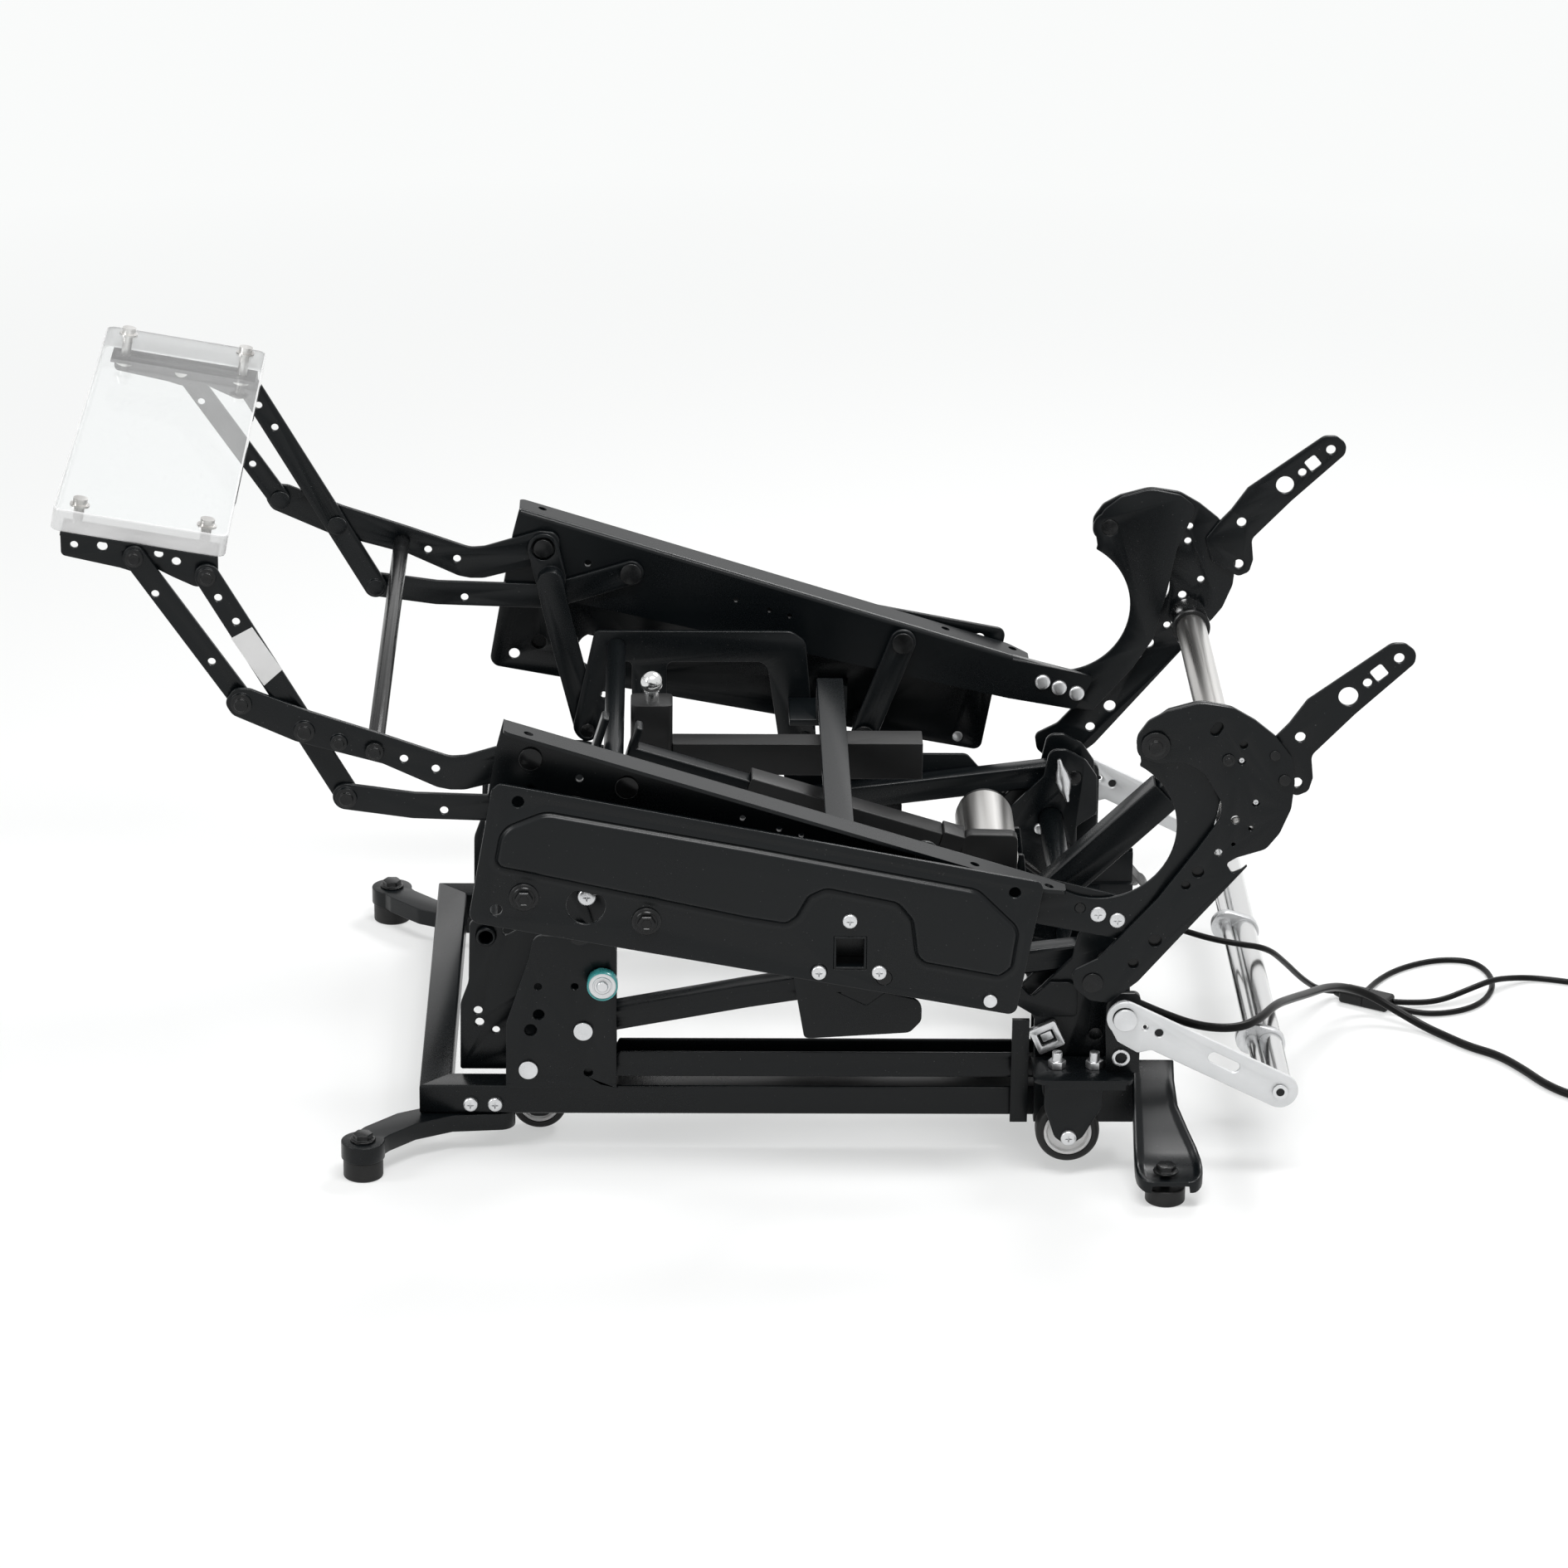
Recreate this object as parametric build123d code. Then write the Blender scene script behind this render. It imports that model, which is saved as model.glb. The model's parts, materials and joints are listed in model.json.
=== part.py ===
from build123d import *
import math
import os

os.makedirs("parts", exist_ok=True)

# Recliner lift mechanism, in millimetres.
# +X runs to the backrest end, -Y is the near side, +Z is up, and the foot pads stand on Z 0.
# Side plates are drawn in the side view (x, z) and filled between two distances from the middle.

# The outlines are measured from a point left of the middle, so every piece is moved by this much.
MIDDLE_X = 53.4

# Pivots in the side view
LIFT_LOW_FRONT = (-104.8, 70.0)
LIFT_LOW_REAR = (318.0, 72.0)
LIFT_HIGH_FRONT = (-62.0, 103.0)
LIFT_HIGH_REAR = (343.0, 165.0)
SUPPORT_FRONT = (-64.0, 190.0)
SUPPORT_REAR = (168.6, 179.0)
SEAT_REAR = (200.0, 262.0)
SEAT_FRONT = (-101.0, 344.0)
SEAT_LOWER = (-28.0, 321.0)
BACK_HINGE = (372.0, 360.0)
REST_CROSSING = (-272.0, 364.0)
REST_UPPER_END = (-319.0, 386.0)
REST_LOWER_END = (-241.0, 310.0)
REST_FRONT = (-397.0, 500.0)
REST_REAR = (-343.0, 485.0)
STRUT_FOOT = (290.0, 137.0)
BACK_TUBE = (440.0, 283.0)
TILT_HINGE = (355.4, 137.0)
TILT_TIP = (477.4, 76.5)
CAN_AXIS = (262.0, 171.0)
FRONT_TUBE = (-40.0, 265.0)
STAY_TUBE = (-138.0, 168.0)

# Distances of the side layers from the middle
GUSSET = (172.0, 176.0)
LOW_ARM = (178.0, 206.0)
HIGH_ARM = (183.0, 201.0)
RAIL = (183.0, 208.0)
BRACKET = (208.0, 212.0)
CARRIAGE = (212.5, 216.5)
FRONT_LINK_LOW = (218.0, 222.0)
REST_BRACKET = (228.0, 232.0)
STAY = (233.0, 237.0)
REAR_LINK = (234.0, 238.0)
REST_LINK = (238.5, 242.5)
SEAT_WEB = (243.5, 247.5)
SEAT_FLANGE = 272.0
HOOK = (247.5, 251.0)
TIP = (248.0, 252.0)
BACK = (252.0, 256.0)
TILT = (260.0, 264.0)
PANEL = (279.0, 283.0)

# Clearances between a turning hole and its pin, and in an open joint
RUN = 0.05


def corner_radius(before, here, after, wanted):
    """The wanted radius, or the largest that fits between the two neighbours."""
    ax, az = before[0] - here[0], before[1] - here[1]
    bx, bz = after[0] - here[0], after[1] - here[1]
    la = math.hypot(ax, az)
    lb = math.hypot(bx, bz)
    turn = math.pi - math.acos(max(-1.0, min(1.0, (ax * bx + az * bz) / (la * lb))))
    if turn < 0.002 or wanted <= 0:
        return 0.0
    room = 0.47 * min(la, lb) / math.tan(turn / 2)
    return min(wanted, room)


def face(points):
    """A closed outline from (x, z, corner radius) points."""
    count = len(points)
    radii = []
    for i in range(count):
        radii.append(corner_radius(points[i - 1], points[i], points[(i + 1) % count], points[i][2]))
    corners = [(p[0], p[1]) for p in points]
    return make_face(FilletPolyline(*corners, radius=radii, close=True))


def dot(spot, radius):
    return Pos(spot[0], spot[1]) * Circle(radius)


def punched(sheet, holes):
    """The sheet with round holes given as (x, z, radius)."""
    for x, z, radius in holes:
        sheet -= Pos(x, z) * Circle(radius)
    return sheet


def slot(a, b, width):
    """A bar with round ends on the two points."""
    length = math.hypot(b[0] - a[0], b[1] - a[1])
    angle = math.degrees(math.atan2(b[1] - a[1], b[0] - a[0]))
    middle = ((a[0] + b[0]) / 2, (a[1] + b[1]) / 2)
    return Pos(middle[0], middle[1]) * Rot(0, 0, angle) * SlotCenterToCenter(length, width)


def strip(points, width):
    """A bent bar of even width through the points."""
    sheet = slot(points[0], points[1], width)
    for a, b in zip(points[1:-1], points[2:]):
        sheet += slot(a, b, width)
    return sheet


def side_plane(distance):
    return Plane((0, -distance, 0), x_dir=(1, 0, 0), z_dir=(0, -1, 0))


def slab(sheet, layer):
    """Fill a side-view sheet through one layer of the near side."""
    return extrude(side_plane(layer[0]) * sheet, amount=layer[1] - layer[0])


def pin(spot, radius, inner, outer):
    return slab(dot(spot, radius), (inner, outer))


def across(spot, radius, near, far):
    """A round bar from side to side, from Y near to Y far."""
    return slab(dot(spot, radius), (-far, -near))


def block(x0, x1, y0, y1, z0, z1):
    return Pos((x0 + x1) / 2, (y0 + y1) / 2, (z0 + z1) / 2) * Box(x1 - x0, y1 - y0, z1 - z0)


def floor_sheet(points, z0, z1):
    """A plan-view outline (x, y, radius) filled between two heights."""
    return extrude(Plane((0, 0, z0)) * face(points), amount=z1 - z0)


def upright_pin(x, y, z0, z1, radius):
    return extrude(Plane((0, 0, z0)) * (Pos(x, y) * Circle(radius)), amount=z1 - z0)


def both(near):
    """The near-side piece and its mirror image."""
    return Compound([*near.solids(), *mirror(near, about=Plane.XZ).solids()])


def along(start, direction, s0, s1, low, high, layer):
    """A block laid along a sloping line of the side view."""
    ux, uz = direction
    vx, vz = uz, -ux
    if vz < 0:
        vx, vz = -vx, -vz
    corners = []
    for s, t in ((s0, low), (s1, low), (s1, high), (s0, high)):
        corners.append((start[0] + ux * s + vx * t, start[1] + uz * s + vz * t, 0))
    return slab(face(corners), layer)


# Base
RAIL_Z = (30.0, 54.0)
FRONT_X = -190.0
REAR_X = 369.0
WALL = 2.0


def side_rails():
    rail = block(FRONT_X, REAR_X, -208, -183, *RAIL_Z)
    rail -= block(FRONT_X - 1, REAR_X + 1, -208 + WALL, -183 - WALL, RAIL_Z[0] + WALL, RAIL_Z[1] - WALL)
    mitre = [(FRONT_X - 5, -213, 0), (FRONT_X - 5, -175, 0), (FRONT_X + 33, -175, 0)]
    rail -= floor_sheet(mitre, RAIL_Z[0] - 1, RAIL_Z[1] + 1)
    return both(rail)


def cross_rails():
    front = block(FRONT_X, FRONT_X + 25, -208, 208, *RAIL_Z)
    front -= block(FRONT_X + WALL, FRONT_X + 25 - WALL, -209, 209, RAIL_Z[0] + WALL, RAIL_Z[1] - WALL)
    corner = [(FRONT_X - 5, -213, 0), (FRONT_X + 33, -213, 0), (FRONT_X + 33, -175, 0)]
    wedge = floor_sheet(corner, RAIL_Z[0] - 1, RAIL_Z[1] + 1)
    front -= wedge
    front -= mirror(wedge, about=Plane.XZ)
    rear = block(300, 325, -183, 183, *RAIL_Z)
    rear -= block(300 + WALL, 325 - WALL, -184, 184, RAIL_Z[0] + WALL, RAIL_Z[1] - WALL)
    return Compound([*front.solids(), *rear.solids()])


def base_rails():
    return Compound([*side_rails().solids(), *cross_rails().solids()])


def front_brackets():
    outline = [(-100.3, 182.8, 8), (-67.6, 182, 8), (-36.3, 174.2, 6), (-36, 57.5, 1)]
    outline += [(-122.4, 57.5, 1), (-121.7, 108.6, 10), (-103.7, 164.2, 10)]
    sheet = face(outline)
    holes = [(-96.9, 140.1, 3), (-68.5, 140.2, 3), (-96.5, 116.4, 4.5), (-102.8, 103.3, 5)]
    holes += [(-58, 67.4, 3.6), (*LIFT_LOW_FRONT, 6), (*LIFT_HIGH_FRONT, 6), (-46.9, 145.3, 4)]
    plate = slab(punched(sheet, holes), BRACKET)
    foot = block(-122.4, -36, -BRACKET[1], -GUSSET[1], 54, 57.5)
    return both(plate + foot)


def front_gussets():
    outline = [(-159, 54, 2), (-158.5, 110, 20), (-152, 128, 20), (-151, 168, 4), (-151, 181, 13)]
    outline += [(-125, 181, 13), (-125, 166, 3), (-104, 178, 8), (-36, 172, 6), (-36, 54, 1)]
    holes = [(*STAY_TUBE, 7.5), (*LIFT_LOW_FRONT, 6), (*LIFT_HIGH_FRONT, 6), (-144.7, 104, 3.5)]
    holes += [(-143.6, 94, 3.5), (-130.7, 87.4, 3)]
    plates = both(slab(punched(face(outline), holes), GUSSET))
    tube = across(STAY_TUBE, 7.5, -181, 181) - across(STAY_TUBE, 5.5, -182, 182)
    return Compound([*plates.solids(), *tube.solids()])


def lift_pins():
    low = pin(LIFT_LOW_FRONT, 6, GUSSET[0], BRACKET[1]) + pin(LIFT_LOW_FRONT, 7.5, 212, 214.5)
    high = pin(LIFT_HIGH_FRONT, 6, GUSSET[0], BRACKET[1]) + pin(LIFT_HIGH_FRONT, 7.5, 212, 214.5)
    return both(Compound([*low.solids(), *high.solids()]))


def side_stops():
    spot = (-46.9, 145.3)
    wheel = pin(spot, 12, 214, 224) - pin(spot, 9.5, 222, 225)
    shaft = pin(spot, 4, BRACKET[0], 226) + pin(spot, 6, 222, 225.5)
    return both(wheel + shaft)


def rear_uprights():
    post = block(272, 285.5, -212, -208, 26, 113)
    shelf_block = block(290, 398, -216, -208, 30, 54)
    web = block(290, 398, -220, -216, 30, 80)
    shelf_plan = [(287, -262, 10), (364, -262, 6), (364, -216, 1), (287, -216, 1)]
    shelf = floor_sheet(shelf_plan, 80, 84)
    lip = block(297, 358, -262, -259, 76, 80)
    post_plan = [(345, -240, 1), (367, -240, 1), (367, -225, 1), (345, -225, 1)]
    foot = floor_sheet(post_plan, 84, 111)
    outline = [(344, 84, 1), (369, 84, 1), (369, 140, 13), (368, 150.5, 13), (342.5, 150.5, 13)]
    outline += [(342, 120, 8)]
    stand = slab(punched(face(outline), [(*TILT_HINGE, 6)]), (240, 246))
    whole = shelf_block + web + shelf + lip + foot + stand
    whole -= upright_pin(306, -236, 78, 86, 4)
    whole -= upright_pin(335, -236, 78, 86, 4)
    return both(Compound([*whole.solids(), *post.solids()]))


def tilt_pins():
    shaft = pin(TILT_HINGE, 6, 240, 266) + pin(TILT_HINGE, 9, 265, 268) + pin(TILT_HINGE, 9, 246, 249)
    ring = pin((354.6, 97), 7, 246, 248.5) - pin((354.6, 97), 4.5, 245, 250)
    return both(Compound([*shaft.solids(), *ring.solids()]))


def front_feet():
    path = [(-128, -196), (-168, -200), (-200, -217), (-222, -240), (-232, -257)]
    plan = strip(path, 25) + dot((-232, -257), 17)
    inner = strip(path, 19) + dot((-232, -257), 14)
    arm = extrude(Plane((0, 0, 16)) * plan, amount=14)
    arm -= extrude(Plane((0, 0, 15)) * inner, amount=12)
    arm += upright_pin(-232, -257, 16, 27, 6)
    arm -= upright_pin(-232, -257, 10, 31, 4)
    return both(arm)


def rear_feet():
    profile = [(-220, 83, 2), (-220, 65, 2), (-280, 13, 6), (-314, 13, 2), (-314, 24, 2), (-284, 24, 8)]
    side = Plane((362, 0, 0), x_dir=(0, 1, 0), z_dir=(1, 0, 0))
    body = extrude(side * face(profile), amount=58)
    plan = [(365, -219, 1), (398, -219, 1), (399, -240, 20), (417, -284, 20), (417, -314, 8)]
    plan += [(365, -314, 8)]
    body &= floor_sheet(plan, 0, 100)
    hollow_profile = [(-224, 74.5, 2), (-224, 54, 2), (-279, 8, 6), (-311, 8, 2), (-311, 20.5, 2)]
    hollow_profile += [(-284, 20.5, 8)]
    hollow = extrude(side * face(hollow_profile), amount=58)
    hollow_plan = [(368.5, -215, 1), (394.5, -215, 1), (395.5, -240, 20), (413.5, -284, 20)]
    hollow_plan += [(413.5, -312, 6), (368.5, -312, 6)]
    hollow &= floor_sheet(hollow_plan, -5, 100)
    body -= hollow
    body += upright_pin(388, -298, 13, 21, 7)
    body -= upright_pin(388, -298, 10, 30, 4)
    return both(body)


def foot_arms():
    return Compound([*front_feet().solids(), *rear_feet().solids()])


def foot_pads():
    pads = []
    for x, y, top in ((-232, -257, 16), (388, -298, 13)):
        pad = Pos(x, y, 0) * Cylinder(15.5, top, align=(Align.CENTER, Align.CENTER, Align.MIN))
        pad = fillet(pad.edges().filter_by(GeomType.CIRCLE), 1.6)
        pads += (pad - upright_pin(x, y, top - 8, top + 1, 4)).solids()
    return both(Compound(pads))


def foot_screws():
    screws = []
    for x, y, pad_top, top in ((-232, -257, 16, 30), (388, -298, 13, 24)):
        shank = upright_pin(x, y, pad_top - 8, top, 4)
        head = extrude(Plane((x, y, top)) * RegularPolygon(8, 6), amount=6)
        washer = upright_pin(x, y, top, top + 1.6, 10)
        screws += (shank + head + washer).solids()
    return both(Compound(screws))


def base_bolts():
    bolts = []
    for x in (-150.2, -131):
        bolts += (pin((x, 38.5), 5.2, 208, 210.5) + pin((x, 38.5), 3, 210.5, 213)).solids()
    return both(Compound(bolts))


REAR_AXLE = (315.0, 34.0)
FRONT_AXLE = (-97.0, 23.0)


def rear_forks():
    outline = [(295.5, 80, 2), (340.5, 80, 2), (340.5, 60, 14), (326, 34, 9), (315, 26, 8), (304, 34, 9)]
    outline += [(295.5, 60, 14)]
    sheet = punched(face(outline), [(*REAR_AXLE, 4)])
    top = block(295.5, 340.5, -258, -222, 76, 80)
    fork = slab(sheet, (255, 258)) + slab(sheet, (222, 225)) + top
    fork -= block(280, 360, -264, -258.9, 74, 82)
    fork -= upright_pin(306, -236, 70, 84, 4)
    fork -= upright_pin(335, -236, 70, 84, 4)
    return both(fork)


def caster_axles():
    rear = pin(REAR_AXLE, 4, 222, 258) + pin(REAR_AXLE, 7, 258, 261.5)
    front = pin(FRONT_AXLE, 4, 152, 178)
    return both(Compound([*rear.solids(), *front.solids()]))


def caster_studs():
    studs = []
    for x in (306, 335):
        stud = upright_pin(x, -236, 72, 97, 4)
        nut = extrude(Plane((x, -236, 84)) * RegularPolygon(7, 6), amount=6)
        studs += (stud + nut).solids()
    return both(Compound(studs))


def front_forks():
    outline = [(-113, 54, 2), (-81, 54, 2), (-81, 40, 10), (-89, 14, 8), (-105, 14, 8), (-113, 40, 10)]
    sheet = punched(face(outline), [(*FRONT_AXLE, 4)])
    top = block(-113, -81, -183, -152, 51, 54)
    return both(slab(sheet, (152, 155)) + slab(sheet, (175, 178)) + top)


def caster_forks():
    return Compound([*rear_forks().solids(), *front_forks().solids()])


def base_fasteners():
    """Pins, bolts, axles and studs that stay with the base."""
    groups = [lift_pins(), base_bolts(), caster_axles(), caster_studs(), tilt_pins()]
    return Compound([solid for group in groups for solid in group.solids()])


def wheel(axle, radius, layer, hub_radius, far):
    body = pin(axle, radius, *layer)
    body = fillet(body.edges().filter_by(GeomType.CIRCLE), 2.5)
    for end in (layer[0], layer[1]):
        dish = pin(axle, hub_radius, end - 2, end + 2) - pin(axle, 8, end - 3, end + 3)
        body -= dish
    body -= pin(axle, 4 + RUN, layer[0] - 1, layer[1] + 1)
    return mirror(body, about=Plane.XZ) if far else body


# Lift drive between the base and the carriage
DRIVE_DIR = (-0.9563, 0.2924)
CAN_Y = (-20.0, 70.0)
DRIVE_LAYER = (8.0, 34.0)


def lift_motor():
    can = across(CAN_AXIS, 23.5, *CAN_Y)
    can = chamfer(can.edges().filter_by(GeomType.CIRCLE), 1.2)
    return can


def lift_motor_cap():
    cap = across(CAN_AXIS, 22, CAN_Y[1], CAN_Y[1] + 9)
    cap = fillet(cap.edges().group_by(Axis.Y)[-1], 3)
    return cap


def gear_housing():
    housing = [(237, 160, 8), (250, 148, 8), (284, 148, 6), (284, 196, 6), (240, 197, 8)]
    body = slab(face(housing), (20, 34))
    nose = along(CAN_AXIS, DRIVE_DIR, 25, 44, -16, 16, DRIVE_LAYER)
    nose -= across(CAN_AXIS, 23.6, -36, 0)
    body += nose
    return body


def drive_track():
    tube = along(CAN_AXIS, DRIVE_DIR, 44, 205, -14, 14, DRIVE_LAYER)
    tube -= along(CAN_AXIS, DRIVE_DIR, 46, 206, -11.5, 11.5, (10.5, 31.5))
    return tube


def lift_gearbox():
    """Gear housing, its track and the motor's end cap."""
    return Compound([*gear_housing().solids(), *drive_track().solids(), *lift_motor_cap().solids()])


def lift_slider():
    bar = along(CAN_AXIS, DRIVE_DIR, 62, 305.3, -10, 10, (12, 30))
    floor = along(CAN_AXIS, DRIVE_DIR, 299.3, 333.3, -18, -11, (12, 30))
    rear = along(CAN_AXIS, DRIVE_DIR, 299.3, 305.3, -18, 27, (12, 30))
    front = along(CAN_AXIS, DRIVE_DIR, 327.3, 333.3, -18, 27, (12, 30))
    return bar + floor + rear + front


def motor_mount():
    outline = [(300, 54, 1), (324, 54, 1), (322, 76, 6), (297, 122, 8), (291, 168, 2), (236, 168, 2)]
    outline += [(238, 140, 6), (272, 104, 20)]
    sheet = face(outline) - dot(CAN_AXIS, 23.5)
    plates = slab(sheet, (2, 6)).solids() + slab(sheet, (-56, -52)).solids()
    return Compound([*plates])


# Lift arms
ARM_HALF = 10.5


def lower_lift_arms():
    shape = [(LIFT_LOW_FRONT[0], 61.5, 0), (LIFT_LOW_REAR[0], 61.5, 0), (LIFT_LOW_REAR[0], 82.5, 0)]
    shape += [(-34, 82.5, 2), (-40, 71, 4), (-84, 71, 4), (-90, 80.5, 2), (LIFT_LOW_FRONT[0], 80.5, 0)]
    flange = face(shape) + dot(LIFT_LOW_FRONT, ARM_HALF) + dot(LIFT_LOW_REAR, ARM_HALF)
    flange = punched(flange, [(*LIFT_LOW_FRONT, 6 + RUN), (*LIFT_LOW_REAR, 7 + RUN)])
    arm = slab(flange, (LOW_ARM[0], LOW_ARM[0] + 2.5)) + slab(flange, (LOW_ARM[1] - 2.5, LOW_ARM[1]))
    arm += block(-90, 300, -LOW_ARM[1], -LOW_ARM[0], 61.5, 64)
    return both(arm)


def upper_lift_arms():
    path = [LIFT_HIGH_FRONT, (-36, 108.5), (65, 127.7), (101, 133.6), LIFT_HIGH_REAR]
    outer = punched(strip(path, 20), [(*LIFT_HIGH_FRONT, 6 + RUN), (*LIFT_HIGH_REAR, 6)])
    return both(slab(outer, HIGH_ARM))


# Carriage, which rides on the lift arms
PANEL_OUTLINE = [(-128.5, 338, 9), (289.3, 257.7, 7), (269.8, 148, 7), (-148.3, 224, 9)]
FIELD = [(-125, 272, 5), (-120, 299, 16), (-89, 312, 20), (63, 284, 0), (237, 250, 16), (268, 219, 12)]
FIELD += [(264, 189, 6), (256, 183, 6), (200, 194, 6), (195, 199, 6), (191, 228, 14), (179, 243, 14)]
FIELD += [(123, 255, 14), (109, 248, 12), (100, 231, 8), (93, 226, 6), (63, 231, 0)]
SQUARE = (142.4, 199.5)
FRAME_BOLT = (-50.5, 222.0)
REAR_BAR = (324.0, 128.0)
PLATE_STUD = (337.0, 102.0)


def side_panels():
    plate = slab(face(PANEL_OUTLINE), PANEL)
    plate += extrude(side_plane(PANEL[1]) * face(FIELD), amount=1.6, taper=45)
    holes = [(-109.6, 322.4, 4.6), (-126.8, 234.1, 4.6), (266.8, 249.6, 4.4), (250.1, 160.6, 4.4)]
    holes += [(-58.7, 237.5, 15), (-105.7, 244.8, 6), (-12.7, 225.4, 6), (118.8, 184, 6), (168.6, 179, 6)]
    for x, z, radius in holes:
        plate -= pin((x, z), radius, PANEL[0] - 1, PANEL[1] + 3)
    plate -= block(SQUARE[0] - 12.5, SQUARE[0] + 12.5, -300, -270, SQUARE[1] - 13.5, SQUARE[1] + 13.5)
    return both(plate)


def square_sockets():
    x, z = SQUARE
    socket = block(x - 12.5, x + 12.5, -283, -262, z - 13.5, z + 13.5)
    socket -= block(x - 10.5, x + 10.5, -284, -261, z - 11.5, z + 11.5)
    return both(socket)


def carriage_frames():
    ell = [(-58, 279, 4), (106, 279, 14), (118, 270, 10), (130, 141, 8), (158, 127, 4), (172, 138, 4)]
    ell += [(201, 131, 10), (201, 114, 8), (192, 104, 8), (117, 99, 8), (110, 99, 6), (102, 144, 6)]
    ell += [(86, 252, 10), (2, 252, 6), (2, 213, 8), (-27, 213, 8), (-27, 252, 4), (-39, 252, 4)]
    ell += [(-43, 205, 10), (-52, 190, 10), (-64, 177, 12), (-77, 190, 12)]
    strap = [(112, 170, 3), (255, 170, 8), (286, 134, 4), (300, 147, 3), (322, 147, 8), (322, 118, 4)]
    strap += [(290, 118, 4), (258, 138, 8), (118, 138, 3)]
    sheet = face(ell) + face(strap)
    sheet = punched(sheet, [(*SUPPORT_FRONT, 6), (118.8, 184, 6), (-12.7, 225.4, 6), (*FRAME_BOLT, 3)])
    return both(slab(sheet, CARRIAGE))


def panel_fittings():
    """Spacers that carry the panels, and the square sockets behind them."""
    pieces = square_sockets().solids()
    for spot in ((118.8, 184), (-12.7, 225.4)):
        tube = pin(spot, 9, CARRIAGE[1], PANEL[0]) + pin(spot, 6, CARRIAGE[0], PANEL[1])
        pieces += both(tube).solids()
    return Compound(pieces)


def panel_bolts():
    bolts = []
    for spot in ((-105.7, 244.8), (-12.7, 225.4)):
        flange = pin(spot, 10.5, PANEL[1], PANEL[1] + 1.6)
        flange += slab(Pos(*spot) * RegularPolygon(7.5, 6), (PANEL[1] + 1.6, PANEL[1] + 6))
        if spot[0] < -50:
            flange += pin(spot, 6, PANEL[0] - 4, PANEL[1])
        bolts += flange.solids()
    return both(Compound(bolts))


def panel_rivets():
    heads = []
    for spot in ((141.9, 226.3), (118.8, 183.7), (164.8, 183.9)):
        heads += pin(spot, 5.4, PANEL[1], PANEL[1] + 2.2).solids()
    corner = (250.1, 160.6)
    heads += (pin(corner, 4.4, PANEL[0], PANEL[1]) + pin(corner, 5.2, PANEL[1], PANEL[1] + 2.2)).solids()
    bolt = pin(FRAME_BOLT, 6, CARRIAGE[1], CARRIAGE[1] + 4) + pin(FRAME_BOLT, 3, CARRIAGE[0], CARRIAGE[1])
    heads += bolt.solids()
    return Compound([*both(Compound(heads)).solids(), *rear_clips().solids()])


def support_pins():
    front = pin(SUPPORT_FRONT, 6, CARRIAGE[0], 223) + pin(SUPPORT_FRONT, 9, 223, 225.5)
    rear = pin(SUPPORT_REAR, 6, 232, PANEL[1]) + pin(SUPPORT_REAR, 9, 229.5, 232)
    rear += pin(SUPPORT_REAR, 9, 239, PANEL[0])
    return both(Compound([*front.solids(), *rear.solids()]))


def rear_brackets():
    outline = [(280, 127, 4), (317, 166, 6), (322, 190, 8), (336, 190, 8), (352, 181, 10), (362, 166, 8)]
    outline += [(363, 133, 8), (346, 121, 4), (347, 60, 6), (289, 60, 6), (289, 115, 6)]
    holes = [(*LIFT_LOW_REAR, 7), (*LIFT_HIGH_REAR, 6), (*PLATE_STUD, 5)]
    sheet = punched(face(outline), holes)
    outer = slab(sheet, (BRACKET[0], CARRIAGE[0]))
    inner = slab(sheet - dot(REAR_BAR, 10), GUSSET)
    return both(Compound([*outer.solids(), *inner.solids()]))


def carriage_pins():
    low = pin(LIFT_LOW_REAR, 7, GUSSET[0], CARRIAGE[0]) + pin(LIFT_LOW_REAR, 9, CARRIAGE[0], 215)
    high_out = pin(LIFT_HIGH_REAR, 6, 207, CARRIAGE[0]) + pin(LIFT_HIGH_REAR, 7.5, CARRIAGE[0], 216)
    high_in = pin(LIFT_HIGH_REAR, 6, GUSSET[0], 177)
    spacer = pin(PLATE_STUD, 5, GUSSET[0], CARRIAGE[0]) + pin(PLATE_STUD, 7.5, GUSSET[1], BRACKET[0])
    pieces = low.solids() + high_out.solids() + high_in.solids() + spacer.solids()
    return Compound([*both(Compound(pieces)).solids(), *support_pins().solids()])


def rear_clips():
    frame = Pos(299, 101) * Rot(0, 0, 25) * (RectangleRounded(22, 22, 2) - RectangleRounded(13, 11, 1))
    clip = slab(frame, (CARRIAGE[0], 219))
    clip += slab(Pos(299, 101) * Rot(0, 0, 25) * RectangleRounded(9, 7, 1), (CARRIAGE[0], 216))
    return both(clip)


def carriage_crossbars():
    front = across(FRONT_TUBE, 8, -CARRIAGE[0], CARRIAGE[0]) - across(FRONT_TUBE, 6, -213, 213)
    rear = across(REAR_BAR, 10, -GUSSET[1], GUSSET[1]) - across(REAR_BAR, 8, -177, 177)
    bar = block(126, 148, -CARRIAGE[0], 165, 250, 256)
    drop = block(126, 148, 160, 165, 215, 250) + block(104, 148, 160, CARRIAGE[0], 215, 221)
    bar += drop
    bar += block(104, 126, -CARRIAGE[0], -206, 250, 256)
    return Compound([*front.solids(), *rear.solids(), *bar.solids(), *strut_bracket().solids()])


def strut_bracket():
    cheek = [(279, 129, 8), (290, 124, 6), (322, 117, 4), (325, 139, 4), (300, 149, 8), (282, 150, 8)]
    sheet = face(cheek) + dot(STRUT_FOOT, 12) - dot(REAR_BAR, 10)
    plate = slab(sheet, (67, 70))
    plate += pin(STRUT_FOOT, 6, 40, 72)
    return plate


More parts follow.
